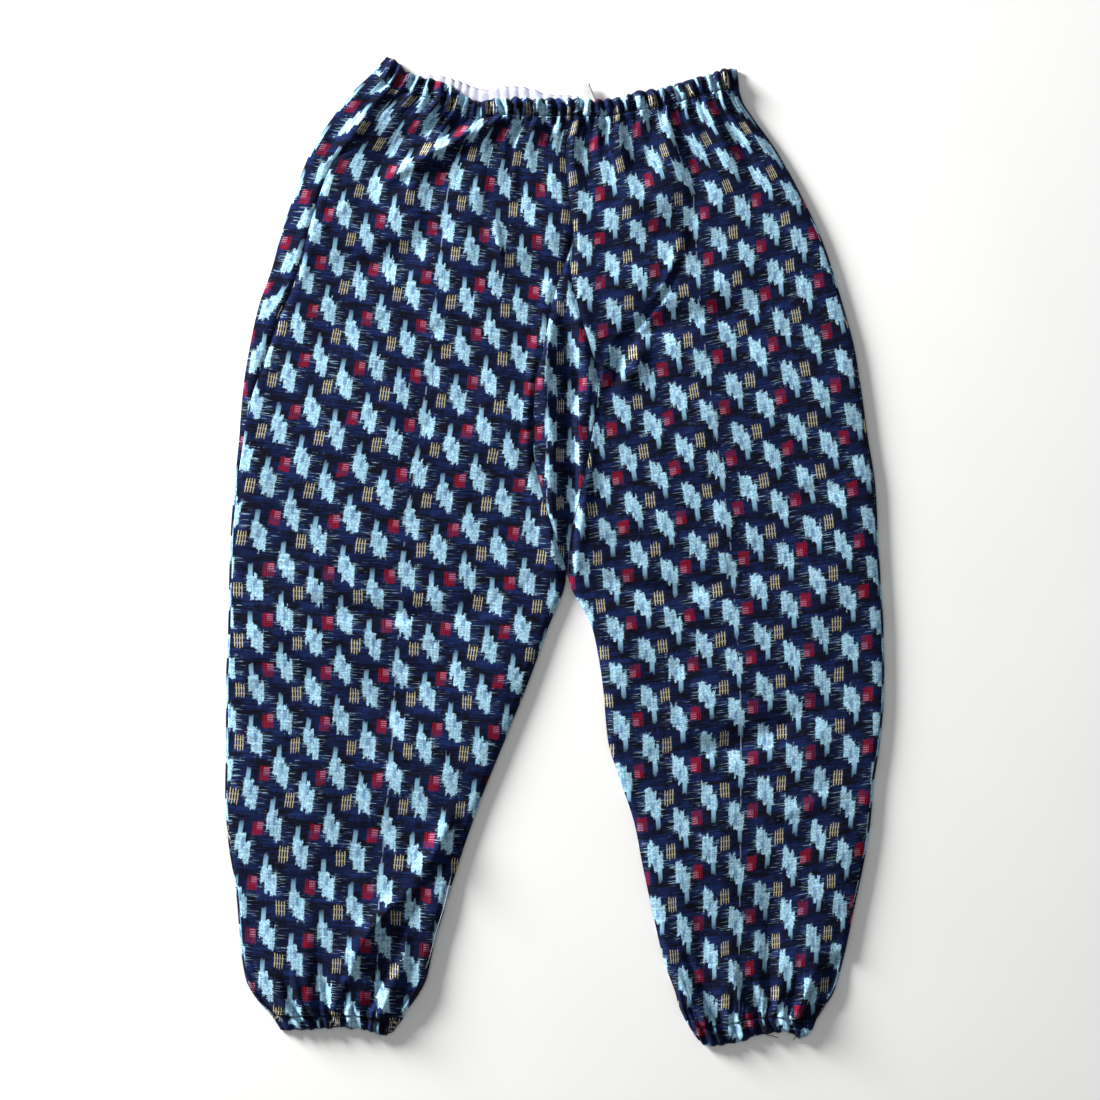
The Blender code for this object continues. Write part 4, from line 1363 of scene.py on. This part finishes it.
def shine(name, spot, target, size, energy, colour):
    lamp = bpy.data.lights.new(name, "AREA")
    lamp.shape = "DISK"
    lamp.size = size
    lamp.energy = energy
    lamp.color = colour
    holder = bpy.data.objects.new(name, lamp)
    holder.location = spot
    towards = (Vector(target) - Vector(spot)).to_track_quat("-Z", "Y")
    holder.rotation_mode = "QUATERNION"
    holder.rotation_quaternion = towards
    bpy.context.scene.collection.objects.link(holder)


def studio():
    scene = bpy.context.scene
    floor_mesh = bpy.data.meshes.new("floor")
    floor_mesh.from_pydata(
        [(-4, -4, 0), (4, -4, 0), (4, 4, 0), (-4, 4, 0)], [], [(0, 1, 2, 3)]
    )
    floor = bpy.data.objects.new("floor", floor_mesh)
    floor.location.z = -0.0004
    floor_mesh.materials.append(floor_paper())
    scene.collection.objects.link(floor)
    shine("window", (-2.5, 1.8, 0.85), (0, 0, 0), 1.1, 345, (1.0, 0.99, 0.97))
    shine("ceiling", (-0.4, 0.4, 3.2), (0, 0, 0), 2.0, 12, (0.97, 0.98, 1.0))
    world = bpy.data.worlds.new("studio")
    world.use_nodes = True
    world.node_tree.nodes["Background"].inputs["Color"].default_value = (1, 1, 1, 1)
    world.node_tree.nodes["Background"].inputs["Strength"].default_value = 0.25
    scene.world = world
    scene.view_settings.view_transform = "Standard"
    lens = bpy.data.cameras.new("camera")
    lens.sensor_width = 36
    height = 3.0
    lens.lens = 36 * height / (1100 * PHOTO_MM * MM)
    camera = bpy.data.objects.new("camera", lens)
    centre_x = (550 - 554.5) * PHOTO_MM - MIDDLE[0]
    centre_down = (550 - 56) * PHOTO_MM
    camera.location = (centre_x * MM, (MIDDLE[1] - centre_down) * MM, height)
    scene.collection.objects.link(camera)
    scene.camera = camera


# Millimetres to a pixel of the photograph, which is 1100 pixels square
PHOTO_MM = 0.94


def trim(piece):
    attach(piece, "root")
    return piece


def casing_stitches(tree):
    along = np.linspace(0.004, 0.996, 1400)
    x, down, top, _ = front_casing_shape(along, np.full_like(along, 0.93))
    return trim(stitched("casing_stitches", new_line("seam", x, down, top), tree))


def cuff_stitches(name, leg, tree):
    along = np.linspace(0.02, 0.98, 500)
    x, down, top, _ = front_cuff_shape(leg, along, np.full_like(along, 0.08))
    return trim(stitched(name, new_line("seam", x, down, top), tree))


# Thread ends and raw edges that show, as x, down and height
ANKLE_THREAD = ((196, 917, 5.2), (200, 919.5, 4.6), (204, 920.5, 3.4), (210, 922.5, 2.0))
ANKLE_THREAD_END = ((227, 918, 5.0), (226.5, 921, 3.6), (224.5, 924.5, 1.6))
CROTCH_THREAD = ((11, 487, 5.0), (14, 490, 3.6), (17, 495, 2.0), (16, 500, 1.0))
INSEAM_EDGE = (
    (-97, 770, 6.4), (-104, 800, 6.8), (-112, 826, 7.0), (-118, 849, 7.4), (-129, 874, 7.2),
    (-141, 899, 6.2),
)
SIDE_EDGE = ((298.5, 693, 3.4), (292.5, 725, 3.6), (286.5, 758, 3.4))


def main():
    cloth = ikat()
    navy_thread = twisted_thread("navy_thread", srgb(30, 36, 66), srgb(58, 68, 108))
    red_thread = twisted_thread("red_brown_thread", srgb(84, 30, 32), srgb(120, 48, 44))
    white_thread = twisted_thread("white_thread", srgb(170, 178, 190), srgb(210, 214, 220))
    rows = stitch_tree(navy_thread)
    facing = white_cotton("white_facing_cloth", srgb(180, 183, 204), srgb(204, 206, 222), True)
    tape = white_cotton("white_tape_cloth", srgb(206, 206, 204), srgb(224, 224, 222), False)
    dress(back_leg("back_right_leg_cloth", RIGHT, True, RIGHT_GRAIN, False),
          "back_right_leg", cloth)
    dress(back_leg("back_left_leg_cloth", LEFT, False, LEFT_GRAIN, True),
          "back_left_leg", cloth)
    dress(front_leg("front_right_leg_cloth", RIGHT, 1, RIGHT_GRAIN, False),
          "front_right_leg", cloth)
    dress(front_leg("front_left_leg_cloth", LEFT, -1, LEFT_GRAIN, True),
          "front_left_leg", cloth)
    dress(back_gusset(), "gusset_back", cloth)
    dress(front_gusset(), "gusset_front", cloth)
    dress(back_casing(), "waistband_back", cloth)
    dress(back_facing(), "back_facing", facing)
    dress(tape_loop(), "tape_loop", tape)
    dress(front_casing(), "waistband_front", cloth)
    for side, leg, grain, turned in (
        ("right", RIGHT, RIGHT_GRAIN, False), ("left", LEFT, LEFT_GRAIN, True)
    ):
        dress(back_cuff(f"cuff_{side}_back_cloth", leg, grain, turned),
              f"cuff_{side}_back", cloth)
        dress(front_cuff(f"cuff_{side}_front_cloth", leg, grain, turned),
              f"cuff_{side}_front", cloth)
    casing_stitches(rows)
    cuff_stitches("right_cuff_stitches", RIGHT, rows)
    cuff_stitches("left_cuff_stitches", LEFT, rows)
    trim(thread("ankle_thread", ANKLE_THREAD, 0.35, red_thread))
    trim(thread("ankle_thread_end", ANKLE_THREAD_END, 0.35, red_thread))
    trim(thread("crotch_thread", CROTCH_THREAD, 0.35, red_thread))
    trim(thread("inseam_edge_thread", INSEAM_EDGE, 0.4, white_thread))
    trim(thread("side_edge_thread", SIDE_EDGE, 0.35, red_thread))
    studio()


main()
